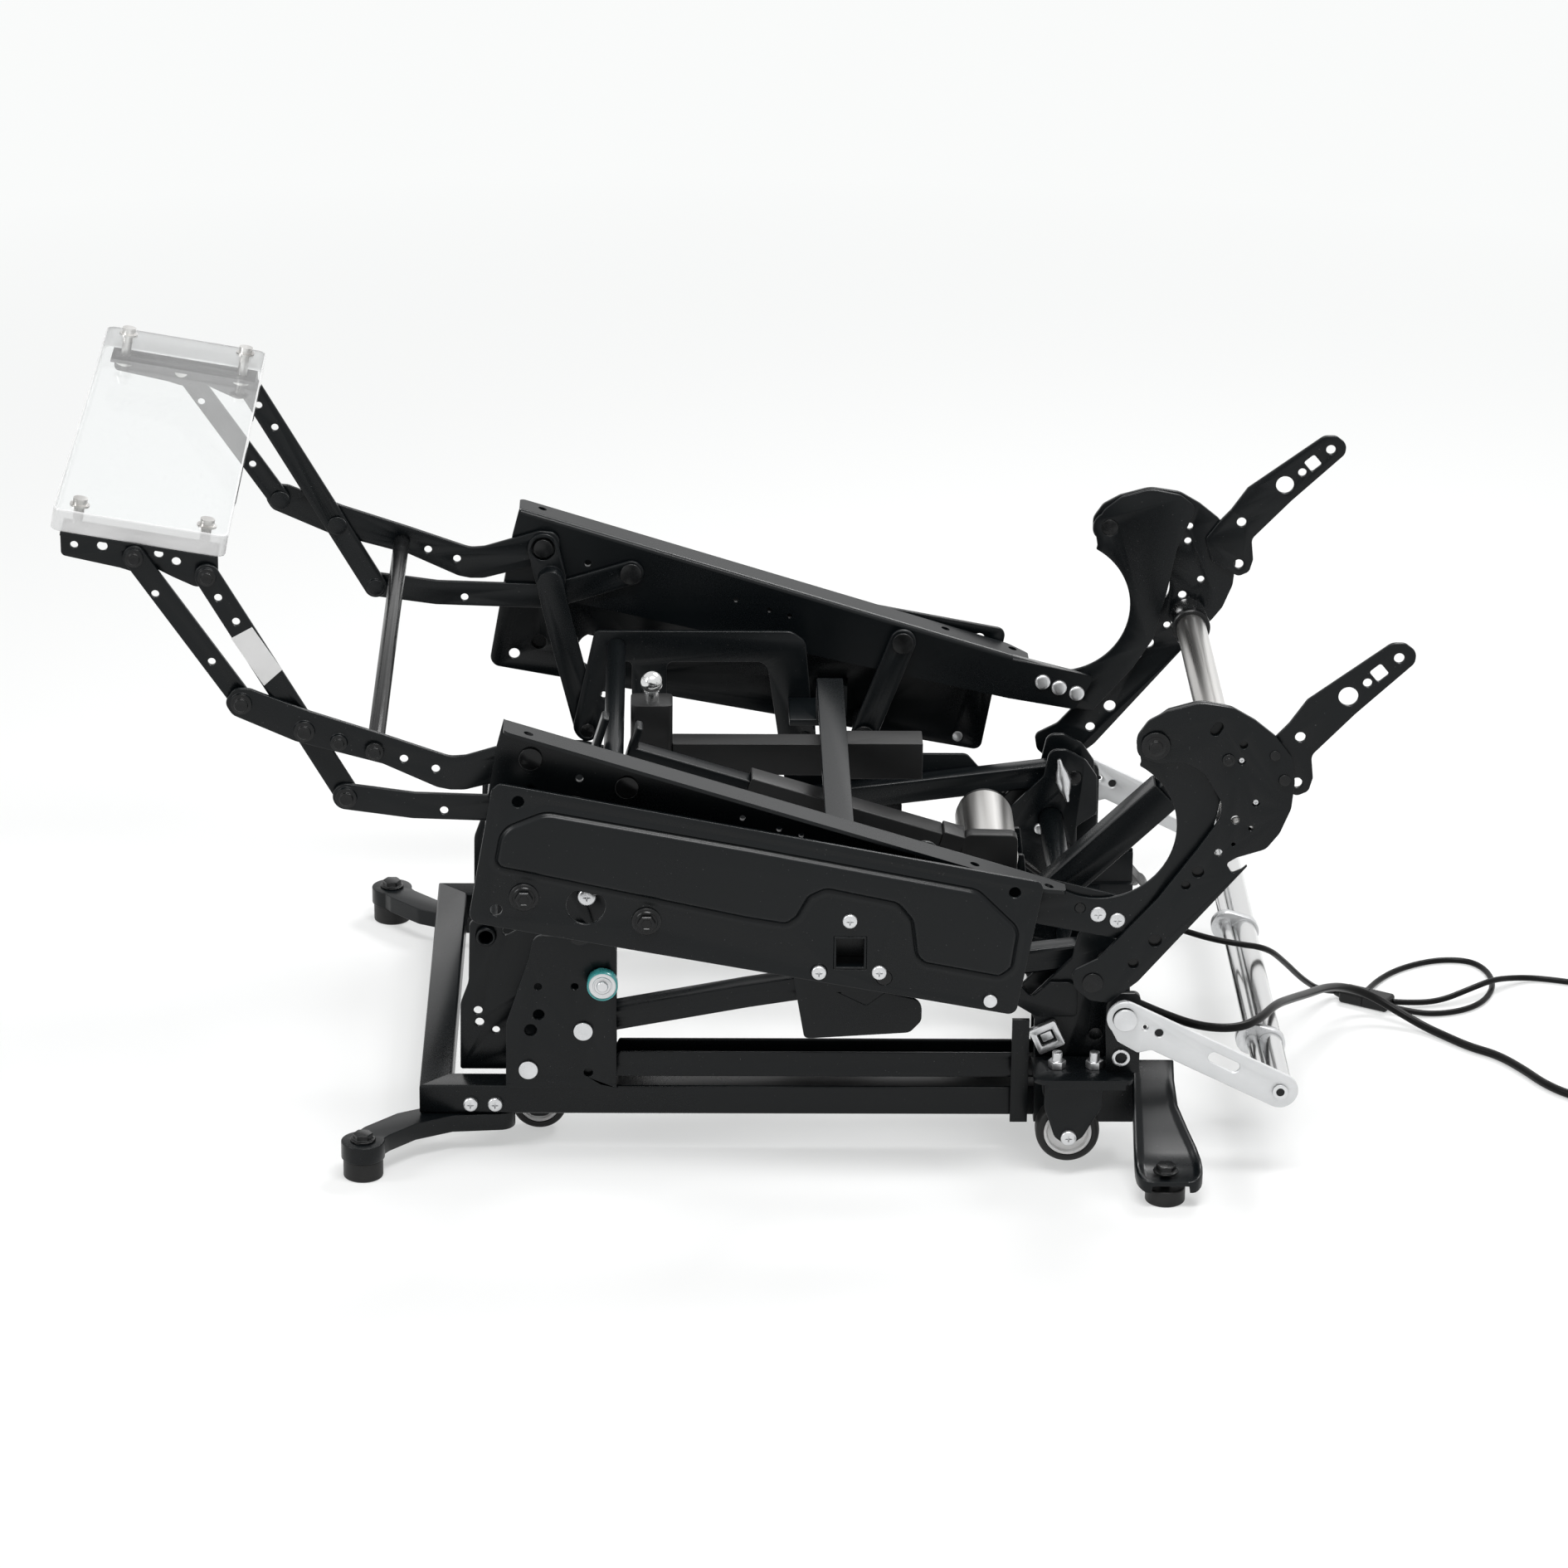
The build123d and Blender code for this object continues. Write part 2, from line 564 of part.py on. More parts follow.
def front_drive():
    box = block(-27, 7, 45, 75, 228, 276)
    box = fillet(box.edges().filter_by(Axis.Z), 5)
    track = block(7, 146, 48, 72, 215, 242) + block(146, 210, 45, 75, 213, 244)
    hanger = block(128, 146, 50, 70, 242, 250)
    return box + track + hanger


def front_drive_ball():
    stem = upright_pin(-10, 60, 276, 283, 6)
    ball = Pos(-10, 60, 291) * Sphere(9)
    return stem + ball


# Links between the carriage and the seat frame
def front_support_links():
    low = slab(strip([SUPPORT_FRONT, (-83, 265), (-92, 302)], 22), FRONT_LINK_LOW)
    low -= pin(SUPPORT_FRONT, 6 + RUN, 217, 223)
    high = slab(strip([(-95, 318), SEAT_FRONT], 26), STAY)
    # the jog between the two layers
    ends = [(-92, 302), (-95, 318)]
    jog = slab(strip(ends, 22), (218, 237))
    whole = low + high + jog
    whole -= pin(SEAT_FRONT, 10, 232, 238)
    return both(whole)


def rear_support_links():
    sheet = punched(slot(SUPPORT_REAR, SEAT_REAR, 22), [(*SUPPORT_REAR, 6 + RUN), (*SEAT_REAR, 6 + RUN)])
    return both(slab(sheet, REAR_LINK))


# Seat frame
def rail_top(x):
    return 338.0 - 0.3097 * x


def seat_rails():
    web = [(-121, 375.5, 2), (294, rail_top(294), 30), (361, 229, 8), (359, 221, 4), (347, 199, 4)]
    web += [(290, 209, 10), (-131, 306, 4), (-133.5, 313, 3), (-127, 352, 10)]
    holes = [(*SEAT_FRONT, 6), (*SEAT_LOWER, 6), (*SEAT_REAR, 6), (-64, 328, 3), (-101, 320, 3)]
    holes += [(319, 224, 4), (333, 219, 4), (348, 214, 4), (60, 296, 2.2), (88, 287, 2.2), (105, 282, 2.2)]
    rail = slab(punched(face(web), holes), SEAT_WEB)
    strip_z = [(-121, rail_top(-121), 0), (307, rail_top(307), 0)]
    strip_z += [(307, rail_top(307) - 3, 0), (-121, rail_top(-121) - 3, 0)]
    flange = slab(face(strip_z), (SEAT_WEB[0], SEAT_FLANGE))
    plan = [(-121, -SEAT_FLANGE, 6), (290, -SEAT_FLANGE, 14), (307, -262, 4), (307, -SEAT_WEB[0], 0)]
    plan += [(-121, -SEAT_WEB[0], 0)]
    flange &= floor_sheet(plan, 200, 400)
    rail += flange
    for x in (-102, 237, 294):
        rail -= upright_pin(x, -262, 200, 400, 3.6)
    return both(rail)


def seat_pins():
    front = pin(SEAT_FRONT, 6, 238, 249.5) + pin(SEAT_FRONT, 9, 247.5, 250)
    front += pin(SEAT_FRONT, 8, 232.6, 238)
    lower = pin(SEAT_LOWER, 6, 237.4, 249.5) + pin(SEAT_LOWER, 9, 247.5, 250)
    lower += pin(SEAT_LOWER, 9, 234.9, 237.4)
    rear = pin(SEAT_REAR, 6, 233, 249.5) + pin(SEAT_REAR, 9, 247.5, 250) + pin(SEAT_REAR, 9, 230.5, 233)
    return both(Compound([*front.solids(), *lower.solids(), *rear.solids()]))


def hook_plates():
    outline = [(362, 344, 3), (359, 362, 6), (367, 376, 12), (381, 387, 8), (405, 394, 24), (430, 389, 14)]
    outline += [(444, 378, 8), (429, 342, 20), (421, 300, 30), (412, 262, 30), (395, 235, 20), (362, 196, 8)]
    outline += [(345, 199, 6), (290, 210, 20), (262, 217, 6), (262, 252.5, 3), (306, 238.5, 3), (328, 236, 0)]
    outline += [(350, 300, 0)]
    sheet = face(outline) + dot(BACK_HINGE, 14) - dot((333, 290), 58)
    holes = [(*BACK_HINGE, 7), (319, 224, 4), (333, 219, 4), (348, 214, 4)]
    return both(slab(punched(sheet, holes), HOOK))


def seat_rivets():
    pieces = []
    for spot in ((319, 224), (333, 219), (348, 214)):
        rivet = pin(spot, 4, SEAT_WEB[0], HOOK[1])
        if spot[0] > 320:
            rivet += pin(spot, 6, HOOK[1], 253)
        rivet += pin(spot, 6, 241, SEAT_WEB[0])
        pieces += rivet.solids()
    hinge = pin(BACK_HINGE, 7, HOOK[0], 257) + pin(BACK_HINGE, 11, 257, 259.5)
    pieces += hinge.solids()
    return both(Compound(pieces))


def seat_fasteners():
    return Compound([*seat_pins().solids(), *seat_rivets().solids()])


# Backrest arms
def back_plates():
    outline = [(358, 350, 10), (358, 367, 10), (366, 379, 10), (380, 387, 8), (405, 394, 24)]
    outline += [(430, 390, 16), (447, 380, 12), (463, 367, 14), (476, 350, 14), (479, 330, 24)]
    outline += [(477, 308, 16), (469, 288, 14), (459, 275, 10), (437, 268, 4), (429, 263, 3)]
    outline += [(434, 255, 2), (441, 258, 1.5), (448, 264, 1.5)]
    outline += [(365, 165, 20), (343, 147, 8), (328, 149, 8), (316, 160, 8), (314, 173, 6), (333, 183, 10)]
    outline += [(378, 234, 30), (407, 275, 20), (424, 301, 14), (424, 313, 14), (410, 337, 14), (394, 346, 10)]
    outline += [(374, 345, 10)]
    holes = [(*BACK_HINGE, 7 + RUN), (439, 360, 3), (450, 313, 3), (435, 299, 3.5), (447, 292, 2)]
    holes += [(434, 279, 1.5), (423, 272, 3), (408, 256, 4.5), (399, 245, 3.5), (377, 199, 5)]
    holes += [(361, 180, 4), (438, 347, 3)]
    sheet = punched(face(outline), holes)
    sheet -= Pos(418, 373) * Rot(0, 0, 60) * SlotCenterToCenter(4, 8)
    return both(slab(sheet, BACK))


def tip_arms():
    outline = [(452, 350, 6), (463, 365, 10), (473, 376, 6), (486, 395, 6), (548, 441, 10), (558, 441, 8)]
    outline += [(567, 434, 8), (566, 425, 8), (523, 384, 0), (491, 350, 8), (493, 332, 6), (490, 321, 6)]
    outline += [(481, 317, 6), (458, 330, 6)]
    holes = [(554, 429, 4), (531, 409, 3.5), (517, 398, 7.5), (482, 365, 4), (481, 328, 4)]
    sheet = punched(face(outline), holes)
    sheet -= Pos(539.5, 417) * Rot(0, 0, 40) * RectangleRounded(11, 11, 2)
    return both(slab(sheet, TIP))


def back_tube():
    tube = across(BACK_TUBE, 12.5, -BACK[0], BACK[0]) - across(BACK_TUBE, 11, -253, 253)
    return tube


def back_collars():
    ring = pin(BACK_TUBE, 16, 214, 246) - pin(BACK_TUBE, 12.5, 213, 247)
    return both(ring)


def back_rivets():
    heads = []
    for x, z, radius in ((428, 348, 5), (471, 332, 4.5), (463, 352, 4), (330, 164, 8)):
        head = pin((x, z), radius, BACK[1], BACK[1] + 1.8)
        heads += head.solids()
    return both(Compound(heads))


def back_fittings():
    return Compound([*back_collars().solids(), *back_rivets().solids()])


# Strut between the carriage and the backrest tube
STRUT_LAYER = (42.0, 66.0)


def strut_line():
    dx = BACK_TUBE[0] - STRUT_FOOT[0]
    dz = BACK_TUBE[1] - STRUT_FOOT[1]
    length = math.hypot(dx, dz)
    return (dx / length, dz / length), length


def strut_tube():
    direction, length = strut_line()
    tube = along(STRUT_FOOT, direction, 0, 152, -13.5, 13.5, STRUT_LAYER)
    tube += pin(STRUT_FOOT, 13.5, *STRUT_LAYER)
    tube -= along(STRUT_FOOT, direction, 20, 153, -11, 11, (44.5, 63.5))
    tube -= pin(STRUT_FOOT, 6 + RUN, 41, 67)
    return tube


def strut_rod():
    direction, length = strut_line()
    rod = along(STRUT_FOOT, direction, 60, length, -8, 8, (46, 62))
    rod += pin(BACK_TUBE, 20, 46, 62)
    rod -= pin(BACK_TUBE, 14.5, 45, 63)
    return rod


# Footrest linkage
def rest_upper_links():
    outline = [(-332, 386, 8), (-324, 398, 8), (-312, 397, 8), (-295, 390, 20), (-267, 379, 0)]
    outline += [(-213, 361, 0), (-162, 343, 20), (-150, 344, 10), (-104, 358, 12), (-88, 356, 12), (-87, 338, 12)]
    outline += [(-98, 330, 12), (-151, 316, 20), (-162, 316, 10), (-172, 318, 20), (-213, 337, 0)]
    outline += [(-279, 355, 0), (-326, 376, 10)]
    holes = [(*SEAT_FRONT, 6 + RUN), (*REST_CROSSING, 5), (*REST_UPPER_END, 5), (-246, 355, 3.5)]
    holes += [(-197, 341, 3.2), (-173, 333, 3.2), (-219, 348, 4)]
    plate = slab(punched(face(outline), holes), REST_LINK)
    for spot in (REST_CROSSING, REST_UPPER_END):
        plate += pin(spot, 5, 232.8, REST_LINK[1]) + pin(spot, 8, 231, 232.8)
        plate += pin(spot, 8, REST_LINK[1], 245.5)
    plate += pin((-246, 355), 3.5, REST_LINK[0], REST_LINK[1]) + pin((-246, 355), 6.5, REST_LINK[1], 246)
    return both(plate)


def rest_lower_links():
    path = [REST_LOWER_END, (-190, 303), (-95, 300), SEAT_LOWER]
    holes = [(*SEAT_LOWER, 6 + RUN), (-167, 299, 3.2)]
    plate = slab(punched(strip(path, 21), holes), REST_LINK)
    return both(plate + pin(REST_LOWER_END, 8, REST_LINK[1], 245.5))


def rest_front_stays():
    sheet = slot(REST_UPPER_END, REST_FRONT, 17)
    holes = [(*REST_UPPER_END, 5 + RUN), (-382, 471, 3), (-341, 417, 3)]
    plate = slab(punched(sheet, holes), STAY)
    return both(plate + pin(REST_FRONT, 7, STAY[1], 239.5))


def rest_rear_stays():
    sheet = slot(REST_REAR, REST_LOWER_END, 19)
    holes = [(*REST_CROSSING, 5 + RUN), (-335, 468, 3), (-322, 449, 3)]
    plate = slab(punched(sheet, holes), STAY)
    plate += pin(REST_LOWER_END, 7, 230.5, STAY[0])
    plate += pin(REST_REAR, 4, 226, STAY[1]) + pin(REST_REAR, 7, STAY[1], 239.5)
    plate += pin(REST_REAR, 7, 224.5, 227)
    return both(plate)


def rest_cross_rod():
    rod = across((-219, 348), 6.5, -REST_LINK[0], REST_LINK[0])
    rod += across((-219, 348), 4, -REST_LINK[1], REST_LINK[1])
    rod += across((-219, 348), 7, -REST_LINK[1] - 4, -REST_LINK[1])
    rod += across((-219, 348), 7, REST_LINK[1], REST_LINK[1] + 4)
    return rod


BOARD_LEFT = (-460.0, 519.8)
BOARD_SLOPE = math.radians(9.6)
BOARD_LENGTH = 132.0
BOARD_THICK = 17.5
BOARD_HALF = 232.0


def board_point(s, t):
    x = BOARD_LEFT[0] + s * math.cos(BOARD_SLOPE) + t * math.sin(BOARD_SLOPE)
    z = BOARD_LEFT[1] - s * math.sin(BOARD_SLOPE) + t * math.cos(BOARD_SLOPE)
    return (x, z)


def board_block(s0, s1, t0, t1, near, far):
    spots = [board_point(s0, t0), board_point(s1, t0), board_point(s1, t1), board_point(s0, t1)]
    return slab(face([(x, z, 0) for x, z in spots]), (-far, -near))


def board_pin(s, y, t0, t1, radius):
    x, z = board_point(s, t0)
    up = (math.sin(BOARD_SLOPE), 0, math.cos(BOARD_SLOPE))
    along_board = (math.cos(BOARD_SLOPE), 0, -math.sin(BOARD_SLOPE))
    return extrude(Plane((x, y, z), x_dir=along_board, z_dir=up) * Circle(radius), amount=t1 - t0)


SCREW_S = (19.0, 115.0)
SCREW_Y = 216.0


def footrest_board():
    board = board_block(0, BOARD_LENGTH, 0, BOARD_THICK, -BOARD_HALF, BOARD_HALF)
    board = chamfer(board.edges(), 1.2)
    for s in SCREW_S:
        for y in (-SCREW_Y, SCREW_Y):
            board -= board_pin(s, y, -1, BOARD_THICK + 1, 4)
    return board


def footrest_brackets():
    ends = [board_point(8, 0), board_point(127, 0)]
    outline = [(*ends[0], 2), (-452, 500, 4), (-408, 490, 10), (-396, 486, 10), (-384, 491, 8)]
    outline += [(-369, 483, 8), (-352, 475, 10), (-335, 477, 8), (*ends[1], 2)]
    holes = [(*REST_REAR, 4 + RUN), (*REST_FRONT, 4), (-442, 508, 3), (-421, 507, 4), (-379, 501, 3.5)]
    holes += [(-366, 495, 3.5)]
    web = slab(punched(face(outline), holes), REST_BRACKET)
    flange = board_block(8, 127, -3, 0, -REST_BRACKET[1], -200)
    bracket = web + flange
    for s in SCREW_S:
        bracket -= board_pin(s, -SCREW_Y, -4, 1, 4)
    return both(bracket)


def board_screws():
    pieces = []
    for s in SCREW_S:
        shank = board_pin(s, -SCREW_Y, -9, BOARD_THICK, 4)
        head = board_pin(s, -SCREW_Y, BOARD_THICK, BOARD_THICK + 6, 5.5)
        washer = board_pin(s, -SCREW_Y, BOARD_THICK, BOARD_THICK + 1.4, 7.5)
        nut = board_pin(s, -SCREW_Y, -8, -3, 6.5)
        pieces += (shank + head + washer + nut).solids()
    front = pin(REST_FRONT, 4, 226, REST_BRACKET[1]) + pin(REST_FRONT, 5.6, 225, REST_BRACKET[0])
    pieces += front.solids()
    return both(Compound(pieces))


# Tilting handle bar behind the base
def tilt_arms():
    sheet = slot(TILT_HINGE, TILT_TIP, 28)
    heel = [(342, 134, 4), (350, 118, 6), (366, 108.5, 4), (377, 111, 6), (388, 116, 4), (372, 134, 4)]
    sheet += face(heel)
    sheet = punched(sheet, [(*TILT_HINGE, 6 + RUN), (*TILT_TIP, 4), (371, 130, 2.6), (382, 125.2, 3.4)])
    sheet -= slot((425, 104.5), (441, 96.5), 9)
    return both(slab(sheet, TILT))


ROD = (463.0, 81.0)


def tilt_tubes():
    tube = across(TILT_TIP, 10.5, -TILT[0], TILT[0])
    rod = across(ROD, 4.5, -TILT[0], TILT[0])
    return Compound([*tube.solids(), *rod.solids()])


def tilt_fittings():
    eyelet = pin(TILT_TIP, 4, TILT[0], 265) + pin(TILT_TIP, 6, 265, 266) - pin(TILT_TIP, 2.5, 264, 267)
    ends = both(eyelet)
    sheet = slot(TILT_TIP, ROD, 25) - dot(TILT_TIP, 10.5) - dot(ROD, 4.5)
    clips = slab(sheet, (168, 176)).solids() + slab(sheet, (-60, -52)).solids()
    return Compound([*ends.solids(), *clips])


# Cords: a thin lead to an inline connector and a thick one, both over the rear bar and on to the floor
THIN = 2.5
THICK = 3.5
WOUND_GAP = 0.6
FLOOR_GAP = 0.3


def tube_along(path, radius, name):
    section = Plane(path @ 0, z_dir=path % 0) * Circle(radius)
    solid = sweep(section, path=path)
    share = solid.volume / (math.pi * radius * radius * path.length)
    print(name, "length", round(path.length, 1), "volume share", round(share, 4))
    return solid


def cord(points, radius, name):
    """A round cord through straight runs joined by tangent arcs."""
    radii = []
    for a, b, c in zip(points[:-2], points[1:-1], points[2:]):
        before = Vector(*b) - Vector(*a)
        after = Vector(*c) - Vector(*b)
        turn = math.radians(before.get_angle(after))
        radii.append(0.45 * min(before.length, after.length) / math.tan(turn / 2))
    print(name, "bend radii", [round(r) for r in radii])
    return tube_along(FilletPolyline(*points, radius=radii), radius, name)


def coil(name, centre, outer, turns, radius, plug_run):
    """Two layers of turns, spiralling in, up and out again, ended by a short straight run."""
    pitch = 2 * radius + WOUND_GAP
    height = radius + FLOOR_GAP
    edges = []
    spot = Vector(centre[0], centre[1] + outer, height)
    heading = Vector(1, 0, 0)

    def half_turn(spot, heading, reach, rise):
        across_way = Vector(heading.Y, -heading.X, 0)
        end = spot + across_way * reach + Vector(0, 0, rise)
        half = (end - spot).length / 2
        top = (spot + end) * 0.5 + heading * half
        edges.append(TangentArc([spot, top], tangent=heading))
        edges.append(TangentArc([top, end], tangent=(end - spot).normalized()))
        return end, heading * -1

    reach = 2 * outer - pitch / 2
    for i in range(2 * turns):
        spot, heading = half_turn(spot, heading, reach, 0)
        reach -= pitch
    spot, heading = half_turn(spot, heading, reach, pitch)
    for i in range(2 * turns - 1):
        reach += pitch
        spot, heading = half_turn(spot, heading, reach, 0)
    edges.append(Line(spot, spot + heading * plug_run))
    path = Wire([edge.edge() for edge in edges])
    samples = [path @ (i / 900) for i in range(901)]
    step = path.length / 900
    apart = int(6 * radius / step) + 1
    gap = min((samples[i] - samples[j]).length for i in range(0, 901, 2) for j in range(i + apart, 901, 2))
    print(name, "least gap", round(gap - 2 * radius, 2))
    return tube_along(path, radius, name), spot + heading * plug_run


UPPER_CORD = [(262, 79, 171), (262, 96, 170), (274, 108, 146), (298, 100, 116), (332, 76, 105), (372, 38, 104)]
UPPER_CORD += [(410, 3, 103), (440, -16, 100), (465, -26, 99), (490, -18, 92), (508, 14, 66), (527, 48, 36)]
UPPER_CORD += [(546, 78, 13), (560, 93, 6)]
LOOP_CORD = [(584, 89, 6), (590, 104, 4), (600, 124, 2.8), (616, 144, 2.8), (638, 160, 2.8), (660, 168, 2.8)]
LOOP_CORD += [(682, 165, 2.8), (693, 147, 2.8), (696, 122, 2.8), (691, 97, 2.8), (679, 74, 2.8), (660, 59, 2.8)]
LOOP_CORD += [(636, 53, 2.8), (615, 57, 4), (601, 63, 6)]
TAIL_CORD = [(606, 71, 6), (626, 73, 4), (648, 77, 5), (672, 89, 10), (693, 106, 11), (712, 122, 6)]
TAIL_CORD += [(730, 129, 3), (748, 125, 2.8), (765, 119, 2.8), (786, 118, 2.8), (812, 118, 2.8)]
LOWER_CORD = [(262, -27, 148), (262, -27, 128), (274, -34, 106), (302, -54, 97), (334, -88, 96), (364, -130, 98)]
LOWER_CORD += [(392, -166, 99), (420, -192, 99), (450, -193, 98), (470, -171, 97), (485, -136, 94), (503, -88, 78)]
LOWER_CORD += [(523, -38, 61), (541, 6, 47), (560, 38, 34), (582, 49, 23), (606, 38, 12), (626, 23, 5)]
LOWER_CORD += [(642, 5, 4), (659, -16, 4), (680, -32, 4), (697, -60, 4), (711, -90, 4), (730, -112, 4)]
LOWER_CORD += [(754, -124, 4), (778, -128, 4), (800, -128, 4)]

# Each put-away coil: its middle, outer radius, turns in a layer, cord radius and straight run to the plug
TAIL_COIL = ((812.0, 82.0), 36.0, 3, THIN, 26)
LOWER_COIL = ((800.0, -178.0), 50.0, 3, THICK, 32)


def upper_cord():
    return cord(UPPER_CORD, THIN, "upper cord")


def loop_cord():
    return cord(LOOP_CORD, THIN, "loop cord")


def tail_cord():
    return cord(TAIL_CORD, THIN, "tail cord")


def lower_cord():
    return cord(LOWER_CORD, THICK, "lower cord")


def tail_coil():
    return coil("tail coil", *TAIL_COIL)[0]


def lower_coil():
    return coil("lower coil", *LOWER_COIL)[0]


def inline_connector():
    """A flat moulded coupling with a tapered strain relief."""
    angle = math.degrees(math.atan2(-28, 46))
    body = fillet(Box(44, 19, 11.5).edges(), 3)
    neck = Pos(-22, 0, 0) * Rot(0, -90, 0) * Cone(5.5, 3.4, 7, align=(Align.CENTER, Align.CENTER, Align.MIN))
    seam = Box(1.2, 21, 13) - Box(1.4, 17.8, 10.3)
    return Pos(585, 78.5, 6.1) * Rot(0, 0, angle) * (body + neck - seam)


def cord_plugs():
    plugs = []
    for wound in (TAIL_COIL, LOWER_COIL):
        end = coil("plug on", *wound)[1]
        height = end.Z + wound[3] + 3
        body = fillet(Box(34, 14, height - FLOOR_GAP).edges(), 2.5)
        plugs.append(Pos(end.X + 17, end.Y, (height + FLOOR_GAP) / 2) * body)
    return Compound([solid for plug in plugs for solid in plug.solids()])


def write(name, shape):
    moved = Pos(-MIDDLE_X, 0, 0) * shape
    export_step(moved, "parts/" + name + ".step")


PIECES = [
    base_rails, front_brackets, front_gussets, base_fasteners, side_stops, rear_uprights,
    foot_arms, foot_pads, foot_screws, caster_forks, lift_motor, lift_gearbox, lift_slider,
    motor_mount, lower_lift_arms, upper_lift_arms, side_panels, panel_fittings, carriage_frames,
    panel_bolts, panel_rivets, carriage_pins, rear_brackets, carriage_crossbars, front_drive,
    front_drive_ball, front_support_links, rear_support_links, seat_rails, seat_fasteners,
    hook_plates, back_plates, tip_arms, back_tube, back_fittings, strut_tube, strut_rod,
    rest_upper_links, rest_lower_links, rest_front_stays, rest_rear_stays, rest_cross_rod,
    footrest_board, footrest_brackets, board_screws, tilt_arms, tilt_tubes, tilt_fittings,
    upper_cord, loop_cord, tail_cord, lower_cord, tail_coil, lower_coil, inline_connector,
    cord_plugs,
]

for make in PIECES:
    write(make.__name__, make())

WHEELS = [("rear_caster_near", REAR_AXLE, 25, (230, 250), 16, False)]
WHEELS += [("rear_caster_far", REAR_AXLE, 25, (230, 250), 16, True)]
WHEELS += [("front_caster_near", FRONT_AXLE, 22, (157, 173), 13, False)]
WHEELS += [("front_caster_far", FRONT_AXLE, 22, (157, 173), 13, True)]
for name, axle, radius, layer, hub, far in WHEELS:
    write(name, wheel(axle, radius, layer, hub, far))
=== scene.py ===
import json
import math

import bmesh
import bpy
from mathutils import Matrix, Vector


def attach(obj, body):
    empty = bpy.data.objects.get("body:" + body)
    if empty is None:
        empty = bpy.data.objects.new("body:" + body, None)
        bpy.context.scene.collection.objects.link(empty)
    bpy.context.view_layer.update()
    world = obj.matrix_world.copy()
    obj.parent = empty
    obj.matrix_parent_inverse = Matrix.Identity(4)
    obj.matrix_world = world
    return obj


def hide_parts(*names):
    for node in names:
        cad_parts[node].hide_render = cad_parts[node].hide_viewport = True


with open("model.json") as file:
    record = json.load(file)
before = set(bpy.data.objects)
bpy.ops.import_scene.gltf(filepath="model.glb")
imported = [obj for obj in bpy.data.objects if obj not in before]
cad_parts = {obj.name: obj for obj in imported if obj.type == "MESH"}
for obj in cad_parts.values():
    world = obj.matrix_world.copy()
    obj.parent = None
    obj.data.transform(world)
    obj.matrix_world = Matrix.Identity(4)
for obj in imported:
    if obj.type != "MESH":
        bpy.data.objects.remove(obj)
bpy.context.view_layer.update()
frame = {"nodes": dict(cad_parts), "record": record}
nodes = frame["nodes"]
behaviour = frame["record"]["behaviour"]
BODY_OF = {node: body for body, group in behaviour["bodies"].items() for node in group}

# Lengths below are millimetres, measured as on the drawing: from MIDDLE_X, with -Y on the near side
MM = 0.001
MIDDLE_X = 53.4
NEAR, FAR = -1, 1
SIDES = (NEAR, FAR)


def spot(x, y, z):
    return Vector(((x - MIDDLE_X) * MM, y * MM, z * MM))


# Camera
CAMERA_SPOT = (0.02, -4448.38, 1979.06)
CAMERA_DOWN = math.radians(21.5)
CAMERA_YAW = math.radians(1.24457)
CAMERA_ROLL = math.radians(0.66377)
LENS = 136.57
SENSOR = 36


def put_in_scene(name, data):
    """A new object for the data, in the scene."""
    thing = bpy.data.objects.new(name, data)
    bpy.context.scene.collection.objects.link(thing)
    return thing


def place_camera():
    data = bpy.data.cameras.new("camera")
    data.lens = LENS
    data.sensor_width = SENSOR
    camera = put_in_scene("camera", data)
    level = math.cos(CAMERA_DOWN)
    ahead = Vector((math.sin(CAMERA_YAW) * level, math.cos(CAMERA_YAW) * level, -math.sin(CAMERA_DOWN)))
    right = Vector((math.cos(CAMERA_YAW), -math.sin(CAMERA_YAW), 0))
    up = right.cross(ahead)
    turned_right = right * math.cos(CAMERA_ROLL) + up * math.sin(CAMERA_ROLL)
    turned_up = up * math.cos(CAMERA_ROLL) - right * math.sin(CAMERA_ROLL)
    turn = Matrix((turned_right, turned_up, -ahead)).transposed().to_4x4()
    camera.matrix_world = Matrix.Translation(spot(*CAMERA_SPOT)) @ turn
    bpy.context.scene.camera = camera


# Materials
class Number:
    """A number in a material, with the operators of shader maths."""

    def __init__(self, finish, socket):
        self.finish = finish
        self.socket = socket

    def maths(self, operation, first, second):
        return self.finish.node("ShaderNodeMath", {"operation": operation}, {0: first, 1: second})

    def __add__(self, other):
        return self.maths("ADD", self, other)

    def __radd__(self, other):
        return self.maths("ADD", other, self)

    def __mul__(self, other):
        return self.maths("MULTIPLY", self, other)

    def __pow__(self, other):
        return self.maths("POWER", self, other)

    def span(self, low, high):
        """Clamped share of the way from low to high."""
        inputs = {0: self, 1: low, 2: high, 3: 0.0, 4: 1.0}
        return self.finish.node("ShaderNodeMapRange", {"clamp": True}, inputs)


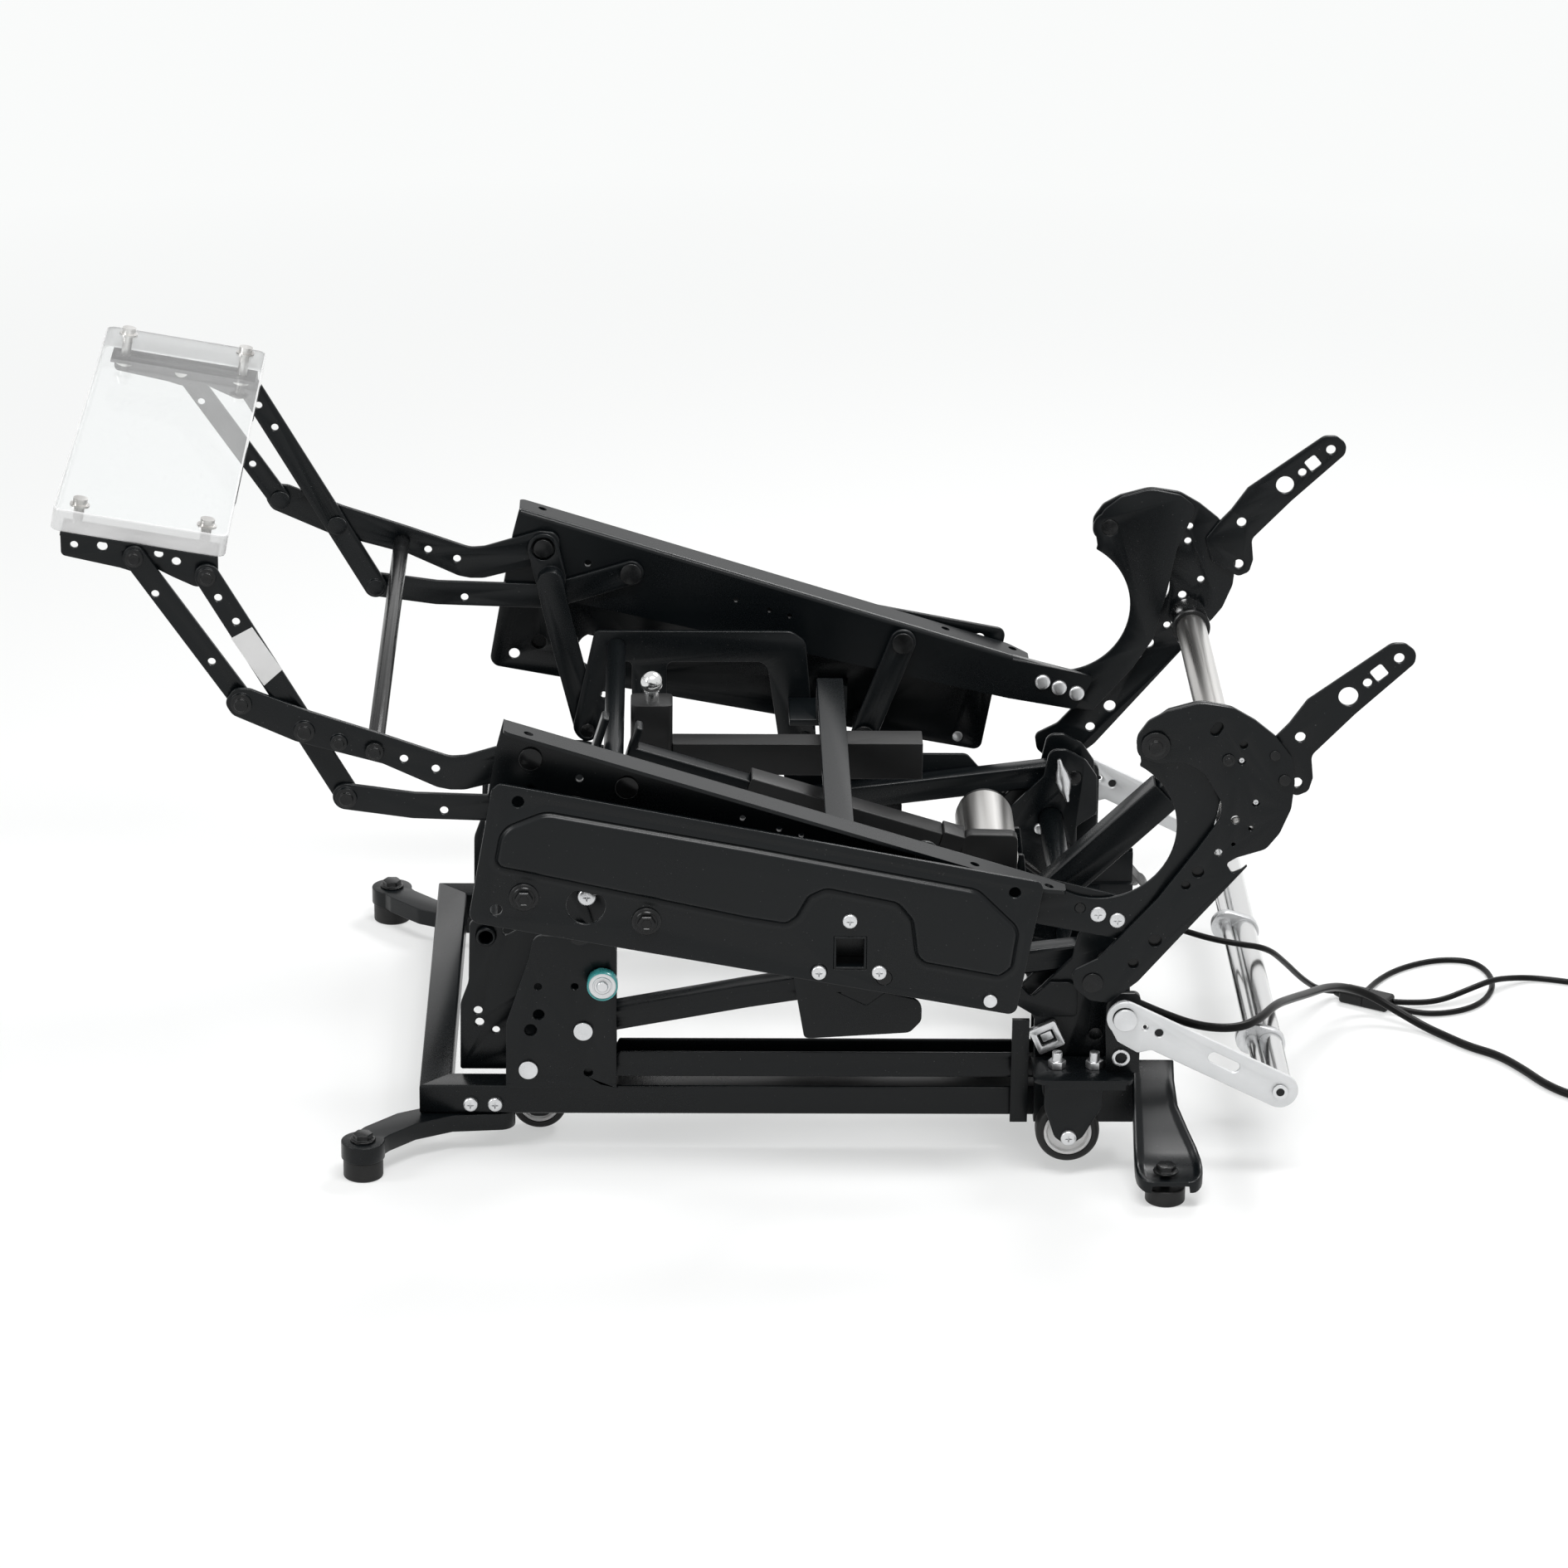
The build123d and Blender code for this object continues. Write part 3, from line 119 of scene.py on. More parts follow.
class Finish:
    """One procedural material."""

    SOCKETS = {"colour": "Base Color", "rough": "Roughness", "metal": "Metallic", "normal": "Normal",
               "coat": "Coat Weight", "specular": "Specular IOR Level"}

    def __init__(self, name):
        self.material = bpy.data.materials.new(name)
        self.material.use_nodes = True
        self.tree = self.material.node_tree
        self.tree.nodes.clear()
        self.place = self.node("ShaderNodeTexCoord", output="Object")

    def node(self, kind, settings=None, inputs=None, output=0):
        made = self.tree.nodes.new(kind)
        for key, value in (settings or {}).items():
            setattr(made, key, value)
        for key, value in (inputs or {}).items():
            if isinstance(value, Number):
                self.tree.links.new(value.socket, made.inputs[key])
            else:
                made.inputs[key].default_value = value
        return Number(self, made.outputs[output])

    def stretched(self, scale):
        return self.node("ShaderNodeMapping", {}, {"Vector": self.place, "Scale": scale})

    def noise(self, scale, detail, where=None):
        inputs = {"Vector": where or self.place, "Scale": scale, "Detail": detail}
        return self.node("ShaderNodeTexNoise", {}, inputs)

    def voronoi(self, scale):
        return self.node("ShaderNodeTexVoronoi", {}, {"Vector": self.place, "Scale": scale})

    def mix(self, share, first, second):
        return self.node("ShaderNodeMix", {"data_type": "RGBA"}, {0: share, 6: first, 7: second}, output=2)

    def bump(self, height, distance, strength):
        inputs = {"Height": height, "Distance": distance * MM, "Strength": strength}
        return self.node("ShaderNodeBump", {}, inputs)

    def shader(self, **sockets):
        inputs = {self.SOCKETS[key]: value for key, value in sockets.items()}
        return self.node("ShaderNodeBsdfPrincipled", {}, inputs)

    def closed_with(self, surface):
        """The material, once its surface is linked to the output."""
        out = self.tree.nodes.new("ShaderNodeOutputMaterial")
        self.tree.links.new(surface.socket, out.inputs["Surface"])
        return self.material


def grey(level, tint=(1, 1, 1)):
    return (level * tint[0], level * tint[1], level * tint[2], 1)


def powder_coat(m):
    """Satin black with a faint orange peel and a few pale specks."""
    peel = m.noise(900, 3)
    cloud = m.noise(11, 4)
    speck = m.noise(620, 1).span(0.77, 0.8)
    tint = (0.7, 1.0, 1.2)
    colour = m.mix(cloud, grey(0.0026, tint), grey(0.0048, tint))
    colour = m.mix(speck, colour, grey(0.05))
    rough = 0.2 + cloud * 0.1 + peel * 0.08
    return m.shader(colour=colour, rough=rough, normal=m.bump(peel, 0.02, 0.5), specular=0.23)


def black_plastic(m):
    grain = m.voronoi(1500)
    cloud = m.noise(25, 3)
    colour = m.mix(cloud, grey(0.004), grey(0.009, (0.95, 1.0, 1.05)))
    rough = 0.36 + cloud * 0.12
    return m.shader(colour=colour, rough=rough, normal=m.bump(grain, 0.02, 0.4), specular=0.26)


def black_oxide(m):
    cloud = m.noise(120, 3)
    colour = m.mix(cloud, grey(0.003), grey(0.009, (0.9, 1.0, 1.08)))
    normal = m.bump(m.noise(700, 2), 0.01, 0.4)
    return m.shader(colour=colour, rough=0.18 + cloud * 0.14, normal=normal, specular=0.26)


def polished_steel(m):
    smear = m.noise(18, 4, m.stretched((1, 0.15, 1)))
    line = m.noise(1400, 2, m.stretched((1, 0.02, 1)))
    colour = m.mix(smear, grey(0.62), grey(0.8, (0.99, 1.0, 1.0)))
    return m.shader(colour=colour, rough=0.12 + smear * 0.12, metal=1.0, normal=m.bump(line, 0.002, 0.3))


def brushed_steel(m):
    line = m.noise(850, 4, m.stretched((1, 0.012, 1)))
    band = m.noise(75, 3, m.stretched((1, 0.02, 1)))
    colour = m.mix(band.span(0.3, 0.7), grey(0.42, (1.0, 0.975, 0.94)), grey(0.8, (1.0, 0.99, 0.97)))
    rough = 0.2 + band * 0.1 + line * 0.1
    return m.shader(colour=colour, rough=rough, metal=1.0, normal=m.bump(line, 0.012, 0.5))


def zinc(m):
    cell = m.voronoi(420)
    cloud = m.noise(60, 4)
    colour = m.mix(cloud, grey(0.54, (0.99, 1.0, 1.02)), grey(0.76, (0.99, 1.0, 1.01)))
    rough = 0.2 + cloud * 0.12 + cell * 0.1
    return m.shader(colour=colour, rough=rough, metal=0.92, normal=m.bump(m.noise(600, 3), 0.008, 0.4))


def silver_plate(m):
    cloud = m.noise(26, 5)
    scuff = m.noise(300, 3, m.stretched((0.15, 1, 1)))
    colour = m.mix(cloud, grey(0.6, (0.98, 1.0, 1.01)), grey(0.76, (0.99, 1.0, 1.01)))
    rough = 0.34 + cloud * 0.14 + scuff * 0.08
    return m.shader(colour=colour, rough=rough, metal=0.45, normal=m.bump(scuff, 0.006, 0.4))


def veiled(m, veil, milk_level, edge_streaks):
    """Clear plastic seen through a thin milky veil, with a glossy skin."""
    haze = m.noise(30, 5)
    scuff = m.noise(150, 5, m.stretched((1, 0.3, 1))).span(0.62, 0.85)
    streak = m.noise(60, 3, m.stretched((0.2, 1, 1))).span(0.4, 0.8)
    clear = m.node("ShaderNodeBsdfTransparent", {}, {"Color": (0.975, 0.985, 0.985, 1)})
    milk = m.shader(colour=m.mix(haze, grey(milk_level), grey(milk_level + 0.06)), rough=0.3, specular=0.3)
    share = veil + haze * 0.04 + scuff * 0.08 + streak * edge_streaks
    body = m.node("ShaderNodeMixShader", {}, {0: share, 1: clear, 2: milk})
    skin = m.node("ShaderNodeBsdfAnisotropic", {}, {"Roughness": 0.04, "Color": (1, 1, 1, 1)})
    facing = m.node("ShaderNodeLayerWeight", {}, {"Blend": 0.5}, output=1)
    edge = 0.04 + facing ** 5.0 * 0.9
    return m.node("ShaderNodeMixShader", {}, {0: edge, 1: body, 2: skin})


def clear_board(m):
    return veiled(m, 0.06, 0.72, 0.0)


def frosted_edge(m):
    """The sawn rim of the board, nearly white."""
    return veiled(m, 0.72, 0.66, 0.2)


def rubber(m):
    grain = m.noise(500, 4)
    dust = m.noise(60, 4).span(0.5, 0.8)
    colour = m.mix(dust, grey(0.006), grey(0.018, (1.0, 0.98, 0.95)))
    return m.shader(colour=colour, rough=0.45 + dust * 0.2, normal=m.bump(grain, 0.03, 0.5), specular=0.3)


def white_plastic(m):
    cloud = m.noise(80, 3)
    colour = m.mix(cloud, grey(0.68, (1.0, 0.995, 0.98)), grey(0.8))
    return m.shader(colour=colour, rough=0.3 + cloud * 0.15)


def teal_ring(m):
    cloud = m.noise(90, 3)
    colour = m.mix(cloud, (0.03, 0.27, 0.27, 1), (0.07, 0.42, 0.42, 1))
    return m.shader(colour=colour, rough=0.2 + cloud * 0.12, coat=0.4)


def cord_sheath(m):
    grain = m.noise(800, 3)
    cloud = m.noise(30, 3)
    colour = m.mix(cloud, grey(0.003), grey(0.008))
    rough = 0.26 + cloud * 0.12
    return m.shader(colour=colour, rough=rough, normal=m.bump(grain, 0.02, 0.4), specular=0.12)


def paper(m):
    fibre = m.noise(900, 4)
    cloud = m.noise(40, 3)
    colour = m.mix(cloud, grey(0.62, (1.0, 1.0, 0.99)), grey(0.72))
    return m.shader(colour=colour, rough=0.5 + fibre * 0.15, normal=m.bump(fibre, 0.01, 0.5))


# Distances from the middle, in metres, where the floor starts and ends to turn into an even white
FLOOR_SHADE = (0.55, 2.6)


def floor_white(m):
    """A lit white floor near the object that turns into an even white further out."""
    cloud = m.noise(0.7, 3)
    lit = m.shader(colour=m.mix(cloud, grey(0.93), grey(0.95)), rough=0.75, specular=0.1)
    plain = m.node("ShaderNodeEmission", {}, {"Color": (0.955, 0.965, 0.96, 1), "Strength": 1.0})
    reach = m.node("ShaderNodeVectorMath", {"operation": "LENGTH"}, {0: m.place}, output=1)
    rays = m.node("ShaderNodeLightPath", output="Is Camera Ray")
    rays = rays + m.node("ShaderNodeLightPath", output="Is Glossy Ray")
    rays = rays + m.node("ShaderNodeLightPath", output="Is Transmission Ray")
    share = rays.span(0.0, 1.0) * (0.5 + reach.span(*FLOOR_SHADE) * 0.5)
    return m.node("ShaderNodeMixShader", {}, {0: share, 1: lit, 2: plain})


MATERIALS = {}
for make in (powder_coat, black_plastic, black_oxide, polished_steel, brushed_steel, zinc, silver_plate,
             clear_board, frosted_edge, rubber, white_plastic, teal_ring, cord_sheath, paper, floor_white):
    finish = Finish(make.__name__)
    MATERIALS[make.__name__] = finish.closed_with(make(finish))


def paint(thing, material):
    thing.data.materials.clear()
    thing.data.materials.append(MATERIALS[material])


# Meshes
SAME_SPOT = 1e-6


def new_piece(name, data, body, material):
    thing = put_in_scene(name, data)
    paint(thing, material)
    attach(thing, body)
    return thing


def mesh_from(name, form):
    mesh = bpy.data.meshes.new(name)
    form.to_mesh(mesh)
    form.free()
    return mesh


def evaluated_mesh(thing):
    bpy.context.view_layer.update()
    evaluated = thing.evaluated_get(bpy.context.evaluated_depsgraph_get())
    return bpy.data.meshes.new_from_object(evaluated)


def turned_frame(centre, direction):
    """A matrix that puts the origin on the centre and turns +Z to the direction."""
    return Matrix.Translation(centre) @ Vector(direction).to_track_quat("Z", "Y").to_matrix().to_4x4()


def join_rings(form, lower, upper):
    count = max(len(lower), len(upper))
    for i in range(count):
        j = (i + 1) % count
        if len(lower) == 1:
            form.faces.new((lower[0], upper[i], upper[j]))
        elif len(upper) == 1:
            form.faces.new((lower[i], lower[j], upper[0]))
        else:
            form.faces.new((lower[i], lower[j], upper[j], upper[i]))


def lofted_mesh(name, shells, smooth_under, closed=False):
    """A mesh of shells through rings of points, with flat ends or closed into a loop.

    Its faces are turned outwards, with soft shading up to an angle.
    """
    form = bmesh.new()
    for shell in shells:
        rings = [[form.verts.new(point) for point in ring] for ring in shell]
        if closed:
            rings.append(rings[0])
        for lower, upper in zip(rings, rings[1:]):
            join_rings(form, lower, upper)
        for ring in (rings[0], rings[-1]):
            if len(ring) > 2 and not closed:
                form.faces.new(ring)
    bmesh.ops.remove_doubles(form, verts=form.verts, dist=SAME_SPOT)
    bmesh.ops.recalc_face_normals(form, faces=form.faces)
    mesh = mesh_from(name, form)
    mesh.shade_smooth()
    mesh.set_sharp_from_angle(angle=math.radians(smooth_under))
    return mesh


def lofted_piece(name, shells, body, material, smooth_under=40, closed=False):
    return new_piece(name, lofted_mesh(name, shells, smooth_under, closed), body, material)


def level_ring(y, places):
    return [spot(x, y, z) for x, z in places]


def circle(sides):
    return [2 * math.pi * i / sides for i in range(sides)]


def turned(profile, place=Matrix.Identity(4), sides=48):
    """Rings of points turned from a profile of (radius, height) points."""
    return [[place @ (Vector((radius * math.cos(a), radius * math.sin(a), height)) * MM)
             for a in circle(sides if radius > 0 else 1)] for radius, height in profile]


def rod(radius, length):
    """The profile of a plain round rod."""
    return [(0, 0), (radius, 0), (radius, length), (0, length)]


def turned_pieces(name, body, profile, places, material="zinc", closed=False, sides=48):
    """The same turned shape on several (x, y, z, direction) places, as one piece."""
    shells = [turned(profile, turned_frame(spot(x, y, z), way), sides) for x, y, z, way in places]
    return lofted_piece(name, shells, body, material, closed=closed)


def plates(name, corners, distances, body, material, sides=SIDES):
    """A flat plate on each side, from its (x, z) corners, between two distances from the middle."""
    shells = [[level_ring(side * distance, corners) for distance in distances] for side in sides]
    return lofted_piece(name, shells, body, material)


def on_both_sides(places, distance, outward=True):
    """(x, y, z, direction) places on both sides, facing away from the middle or towards it."""
    turn = 1 if outward else -1
    return [(x, side * distance, z, (0, side * turn, 0)) for x, z in places for side in SIDES]


def near_any(x, z, places, reach=4.0):
    return any(math.hypot(x - a, z - b) < reach for a, b in places)


# Finish of each CAD node and of its rounded copy; the nodes that aren't listed have the powder coat
NODE_FINISH = {
    "lift_motor": "brushed_steel", "back_tube": "brushed_steel", "board_screws": "brushed_steel",
    "front_drive_ball": "polished_steel", "tilt_tubes": "polished_steel", "tilt_arms": "silver_plate",
    "front_drive": "black_plastic", "lift_gearbox": "black_plastic", "inline_connector": "black_plastic",
    "foot_pads": "rubber", "carriage_pins": "black_oxide", "rest_cross_rod": "black_oxide",
    "foot_screws": "black_oxide", "seat_fasteners": "black_oxide", "back_fittings": "black_oxide",
    "tilt_fittings": "zinc", "panel_rivets": "zinc", "base_fasteners": "zinc",
}


def finish_of(node):
    return NODE_FINISH.get(node, "powder_coat")


def finish_nodes():
    for name, thing in nodes.items():
        paint(thing, finish_of(name))


# Edges of the sheet metal and tubes are eased on a merged copy of each CAD node
def merged_copy(node, keep_face=None):
    form = bmesh.new()
    form.from_mesh(nodes[node].data)
    if keep_face:
        unwanted = [face for face in form.faces if not keep_face(face)]
        bmesh.ops.delete(form, geom=unwanted, context="FACES")
    bmesh.ops.remove_doubles(form, verts=form.verts, dist=SAME_SPOT)
    return form


def drop_islands(form, drop):
    """Remove each loose part whose middle, in drawing millimetres, passes the test."""
    seen = set()
    unwanted = []
    for start in form.verts:
        if start in seen:
            continue
        group = []
        queue = [start]
        seen.add(start)
        while queue:
            vert = queue.pop()
            group.append(vert)
            for edge in vert.link_edges:
                other = edge.other_vert(vert)
                if other not in seen:
                    seen.add(other)
                    queue.append(other)
        low = [min(v.co[i] for v in group) for i in range(3)]
        high = [max(v.co[i] for v in group) for i in range(3)]
        middle = [(a + b) / 2 / MM for a, b in zip(low, high)]
        if drop(middle[0] + MIDDLE_X, middle[1], middle[2]):
            unwanted += group
    bmesh.ops.delete(form, geom=unwanted, context="VERTS")


EDGE_ANGLE = math.radians(35)
CRISP_ANGLE = math.radians(30)
FLAT_ANGLE = math.radians(0.8)
LARGE_FACE = 3000 * MM * MM
FOLD_SEGMENTS = 5
CLAMPED = ("front_drive", "rear_uprights", "base_rails")


def crisp_flats(form):
    """Hard edges by angle, and all round each large flat face, so that it shades evenly."""
    for edge in form.edges:
        large = any(face.calc_area() > LARGE_FACE for face in edge.link_faces)
        edge.smooth = not large and edge.calc_face_angle(math.pi) < CRISP_ANGLE


def eased(node, rounding, segments=2, drop=None, fold=None, keep_face=None, suffix=""):
    """A copy of a CAD node with rounded edges, or crisp ones without a rounding.

    A fold is its radius, the shortest edge and a test for the ends of an edge.
    """
    form = merged_copy(node, keep_face)
    if drop:
        drop_islands(form, drop)
    bmesh.ops.dissolve_limit(form, angle_limit=FLAT_ANGLE, verts=form.verts, edges=form.edges)
    if fold:
        radius, shortest, on_fold = fold
        edges = [e for e in form.edges if e.calc_length() > shortest * MM
                 and all(on_fold(*(c / MM for c in v.co)) for v in e.verts)]
        bmesh.ops.bevel(form, geom=edges, offset=radius * MM, offset_type="OFFSET", segments=FOLD_SEGMENTS,
                        profile=0.5, affect="EDGES")
    if not rounding:
        crisp_flats(form)
    name = "eased_" + node + suffix
    mesh = mesh_from(name, form)
    mesh.shade_smooth()
    piece = new_piece(name, mesh, BODY_OF[node], finish_of(node))
    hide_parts(node)
    if not rounding:
        return
    ease = piece.modifiers.new("ease", "BEVEL")
    ease.width = rounding * MM
    ease.segments = segments
    ease.limit_method = "ANGLE"
    ease.angle_limit = EDGE_ANGLE
    ease.use_clamp_overlap = node in CLAMPED
    ease.loop_slide = False
    ease.harden_normals = True


# Tests for the edges and faces of the seat rails and the base, on the drawing
RAIL_WEB = 243.5
RAIL_TOP, RAIL_SLOPE = 338.0, 0.3097
RAIL_FOLD = 4.0


def on_rail_fold(x, y, z):
    """The bend between a seat rail's web and its top."""
    top = RAIL_TOP - RAIL_SLOPE * (x + MIDDLE_X)
    return abs(abs(y) - RAIL_WEB) < 0.05 and abs(z - top) < 0.6


TUBE_ROUND = 2.2
TUBE_SIDES = (183, 208)
TUBE_ENDS = (-190, -165, 300, 325)
TUBE_LEVELS = (30, 54)
ON_EDGE = 0.05


def on_tube_corner(x, y, z):
    """An outer corner of the base's square tubes."""
    across = min(abs(abs(y) - edge) for edge in TUBE_SIDES)
    along = min(abs(x + MIDDLE_X - edge) for edge in TUBE_ENDS)
    return min(abs(z - level) for level in TUBE_LEVELS) < ON_EDGE and min(across, along) < ON_EDGE


def on_cross_rails(face):
    """Whether a face of the base belongs to a rail that runs from side to side."""
    inside = face.calc_center_median() - face.normal * MM
    x, y = inside.x / MM + MIDDLE_X, inside.y / MM
    return (x < 0 and abs(y) < 18 - x) or (300 < x < 325 and abs(y) < 183)


# Places as (x, z), and distances from the middle
PANEL_FACE = 283.0
FRAME_FACE = 216.5
PANEL_SCREWS = [(141.9, 226.3), (118.8, 183.7), (164.8, 183.9)]
FRAME_SCREW = (-50.5, 222)
OPENING_SCREW = (-58.9, 220.6)
PANEL_BOLTS = [(-105.7, 244.8), (-12.7, 225.4)]
BASE_SCREWS = [(-150.2, 38.5), (-131, 38.5)]
SEAT_RIVETS = [(319, 224), (333, 219), (348, 214)]
REAR_AXLE = (315, 34)
FRONT_AXLE = (-97, 23)
BACK_TUBE = (440, 283)
BRACKET_RIVET = (315, 119.5)
REAR_PIVOT = (343, 165)

# Width of the round on the edges of each CAD node
EASED = {
    "front_brackets": 0.4, "front_gussets": 0.8, "rear_uprights": 0.9, "caster_forks": 0.8,
    "lift_slider": 1.6, "motor_mount": 0.8, "lower_lift_arms": 0.9, "upper_lift_arms": 1.8,
    "side_panels": 0.9, "panel_fittings": 0.7, "carriage_frames": 0.6, "rear_brackets": 0.9,
    "carriage_crossbars": 1, "front_drive": 1.8, "front_support_links": 0.4, "rear_support_links": 1,
    "hook_plates": 0.8, "back_plates": 0.5, "tip_arms": 0.9, "strut_tube": 1.4, "strut_rod": 1.4,
    "carriage_pins": 0.6, "rest_upper_links": 0.9, "rest_lower_links": 0.8, "rest_front_stays": 0.4,
    "rest_rear_stays": 0.9, "footrest_brackets": 0.3, "tilt_arms": 0.8, "lift_gearbox": 1.2,
    "tilt_fittings": 0.2, "rest_cross_rod": 0.6, "foot_screws": 0.8,
}

# The same for nodes that lose their loose parts near some places, where finer pieces stand
THINNED = {
    "panel_rivets": (0.4, PANEL_SCREWS + [FRAME_SCREW]),
    "base_fasteners": (0.5, BASE_SCREWS + [REAR_AXLE]),
    "seat_fasteners": (0.6, SEAT_RIVETS[1:]),
    "back_fittings": (0.6, [BACK_TUBE]),
}
RAIL_ROUND = 0.3


def ease_metal():
    for node, rounding in EASED.items():
        eased(node, rounding)
    for node, (rounding, places) in THINNED.items():
        eased(node, rounding, drop=lambda x, y, z: near_any(x, z, places))
    eased("seat_rails", 0, fold=(RAIL_FOLD, 0.0, on_rail_fold))
    corners = (TUBE_ROUND, 60.0, on_tube_corner)
    eased("base_rails", RAIL_ROUND, fold=corners, keep_face=on_cross_rails, suffix="_across")
    eased("base_rails", RAIL_ROUND, fold=corners, keep_face=lambda face: not on_cross_rails(face),
          suffix="_along")


# Screw heads set on a list of places
CROSS_ARM = math.radians(22)
HEAD_SIDES = 48
HEAD_DOME = ((1, 0), (1, 0.4), (0.95, 0.68), (0.84, 0.87), (0.68, 0.97), (0.6, 1))
HEAD_RECESS = ((1, 1), (0.85, 0.3))


def cross_reach(angle, inner, outer):
    """Distance from the middle to the edge of a cross recess."""
    quarter = math.pi / 2
    off = abs((angle + quarter / 2) % quarter - quarter / 2)
    return inner + (outer - inner) * max(0.0, 1.0 - off / CROSS_ARM)


def head_mesh(radius, height, recess=0.0):
    """A domed screw head standing on Z 0, with a cross recess if one is given."""
    angles = circle(HEAD_SIDES)
    levels = [([radius] * HEAD_SIDES, share, level) for share, level in HEAD_DOME]
    if recess:
        cross = [cross_reach(angle, recess * 0.36, recess) for angle in angles]
        levels += [(cross, share, level) for share, level in HEAD_RECESS]
    rings = [[Vector((reach * share * math.cos(a), reach * share * math.sin(a), height * level)) * MM
              for a, reach in zip(angles, reaches)] for reaches, share, level in levels]
    return lofted_mesh("head", [rings], 40)


# A bolt with a wide flange, a collar and a hexagonal head
FLANGE = [(11.2, 0), (11.2, 0.9), (10.4, 1.6), (8.8, 1.9), (8.2, 2.6), (8.2, 3.4), (0, 3.4)]
HEXAGON = [(6.9, 3.4), (6.9, 6), (6.1, 6.7), (4.4, 6.7), (3.9, 6.2), (0, 6.2)]


def flanged_bolt_mesh():
    return lofted_mesh("bolt", [turned(FLANGE), turned(HEXAGON, sides=6)], 30)


PLACING_NODES = {
    "in": "NodeGroupInput", "out": "NodeGroupOutput", "shape": "GeometryNodeObjectInfo",
    "way": "GeometryNodeInputNamedAttribute", "turn": "FunctionNodeAlignRotationToVector",
    "put": "GeometryNodeInstanceOnPoints", "real": "GeometryNodeRealizeInstances",
    "paint": "GeometryNodeSetMaterial",
}
PLACING_LINKS = (
    ("in", "Geometry", "put", "Points"), ("shape", "Geometry", "put", "Instance"),
    ("way", "Attribute", "turn", "Vector"), ("turn", "Rotation", "put", "Rotation"),
    ("in", "Size", "put", "Scale"), ("put", "Instances", "real", "Geometry"),
    ("real", "Geometry", "paint", "Geometry"), ("paint", "Geometry", "out", "Geometry"),
)


def placing_tree(name, shape, material):
    """A tree that puts the shape on every point, turned to the point's own direction."""
    tree = bpy.data.node_groups.new(name, "GeometryNodeTree")
    for way in ("INPUT", "OUTPUT"):
        tree.interface.new_socket("Geometry", in_out=way, socket_type="NodeSocketGeometry")
    size = tree.interface.new_socket("Size", in_out="INPUT", socket_type="NodeSocketFloat")
    size.default_value = 1.0
    made = {key: tree.nodes.new(kind) for key, kind in PLACING_NODES.items()}
    made["shape"].inputs["Object"].default_value = shape
    made["way"].data_type = "FLOAT_VECTOR"
    made["way"].inputs["Name"].default_value = "way"
    made["turn"].axis = "Z"
    made["paint"].inputs["Material"].default_value = MATERIALS[material]
    for first, out_socket, second, in_socket in PLACING_LINKS:
        tree.links.new(made[first].outputs[out_socket], made[second].inputs[in_socket])
    return tree, size.identifier


def set_on(name, body, shape, places, material="zinc", size=1.0):
    """The shape on (x, y, z, direction) places, made by one Geometry Nodes tree."""
    sample = put_in_scene("sample", shape)
    points = bpy.data.meshes.new(name + "_points")
    points.from_pydata([spot(x, y, z) for x, y, z, way in places], [], [])
    ways = points.attributes.new("way", "FLOAT_VECTOR", "POINT")
    for i, (x, y, z, way) in enumerate(places):
        ways.data[i].vector = Vector(way)
    holder = put_in_scene(name + "_points", points)
    tree, size_socket = placing_tree(name + "_tree", sample, material)
    modifier = holder.modifiers.new("heads", "NODES")
    modifier.node_group = tree
    modifier[size_socket] = size
    mesh = evaluated_mesh(holder)
    mesh.name = name
    bpy.data.objects.remove(holder)
    bpy.data.objects.remove(sample)
    return new_piece(name, mesh, body, material)


# Radius and length of plain rods
POST = (1.6, 6.3)
AXLE = (4, 36)
AXLE_START = 222.0

# Name, body, (radius, height, recess), places, distance from the middle, outward, CAD node it stands for
HEADS = (
    ("panel_screws", "carriage", (5.8, 3, 3), PANEL_SCREWS, PANEL_FACE, True, "panel_rivets"),
    ("frame_screws", "carriage", (7, 3.4, 3.4), [OPENING_SCREW], FRAME_FACE + POST[1], True,
     "panel_rivets"),
    ("base_screws", "base", (5.9, 3.6, 3), BASE_SCREWS, 208, True, "base_fasteners"),
    ("axle_heads", "base", (6.2, 3.4, 3), [REAR_AXLE], 258, True, "base_fasteners"),
    ("seat_screws", "seat", (6.2, 2, 3.2), SEAT_RIVETS[1:], 251, True, "seat_fasteners"),
    ("seat_rivet_domes", "seat", (6.6, 3.2), SEAT_RIVETS, RAIL_WEB, False, "seat_fasteners"),
    ("bracket_rivets", "carriage", (4.8, 3.2), [BRACKET_RIVET], 172, False, None),
    ("pivot_screws", "carriage", (6.2, 2.6, 3.1), [REAR_PIVOT], 216, True, None),
)


def set_screws():
    for name, body, shape, places, distance, outward, node in HEADS:
        heads = set_on(name, body, head_mesh(*shape), on_both_sides(places, distance, outward))
        if node:
            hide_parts(node)
    posts = turned_pieces("frame_screw_posts", "carriage", rod(*POST),
                          on_both_sides([OPENING_SCREW], FRAME_FACE))
    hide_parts("panel_rivets")
    bolts = set_on("panel_flange_bolts", "carriage", flanged_bolt_mesh(),
                   on_both_sides(PANEL_BOLTS, PANEL_FACE), "black_oxide")
    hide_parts("panel_bolts")
    shafts = turned_pieces("rear_axle_shafts", "base", rod(*AXLE), on_both_sides([REAR_AXLE], AXLE_START))
    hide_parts("base_fasteners")


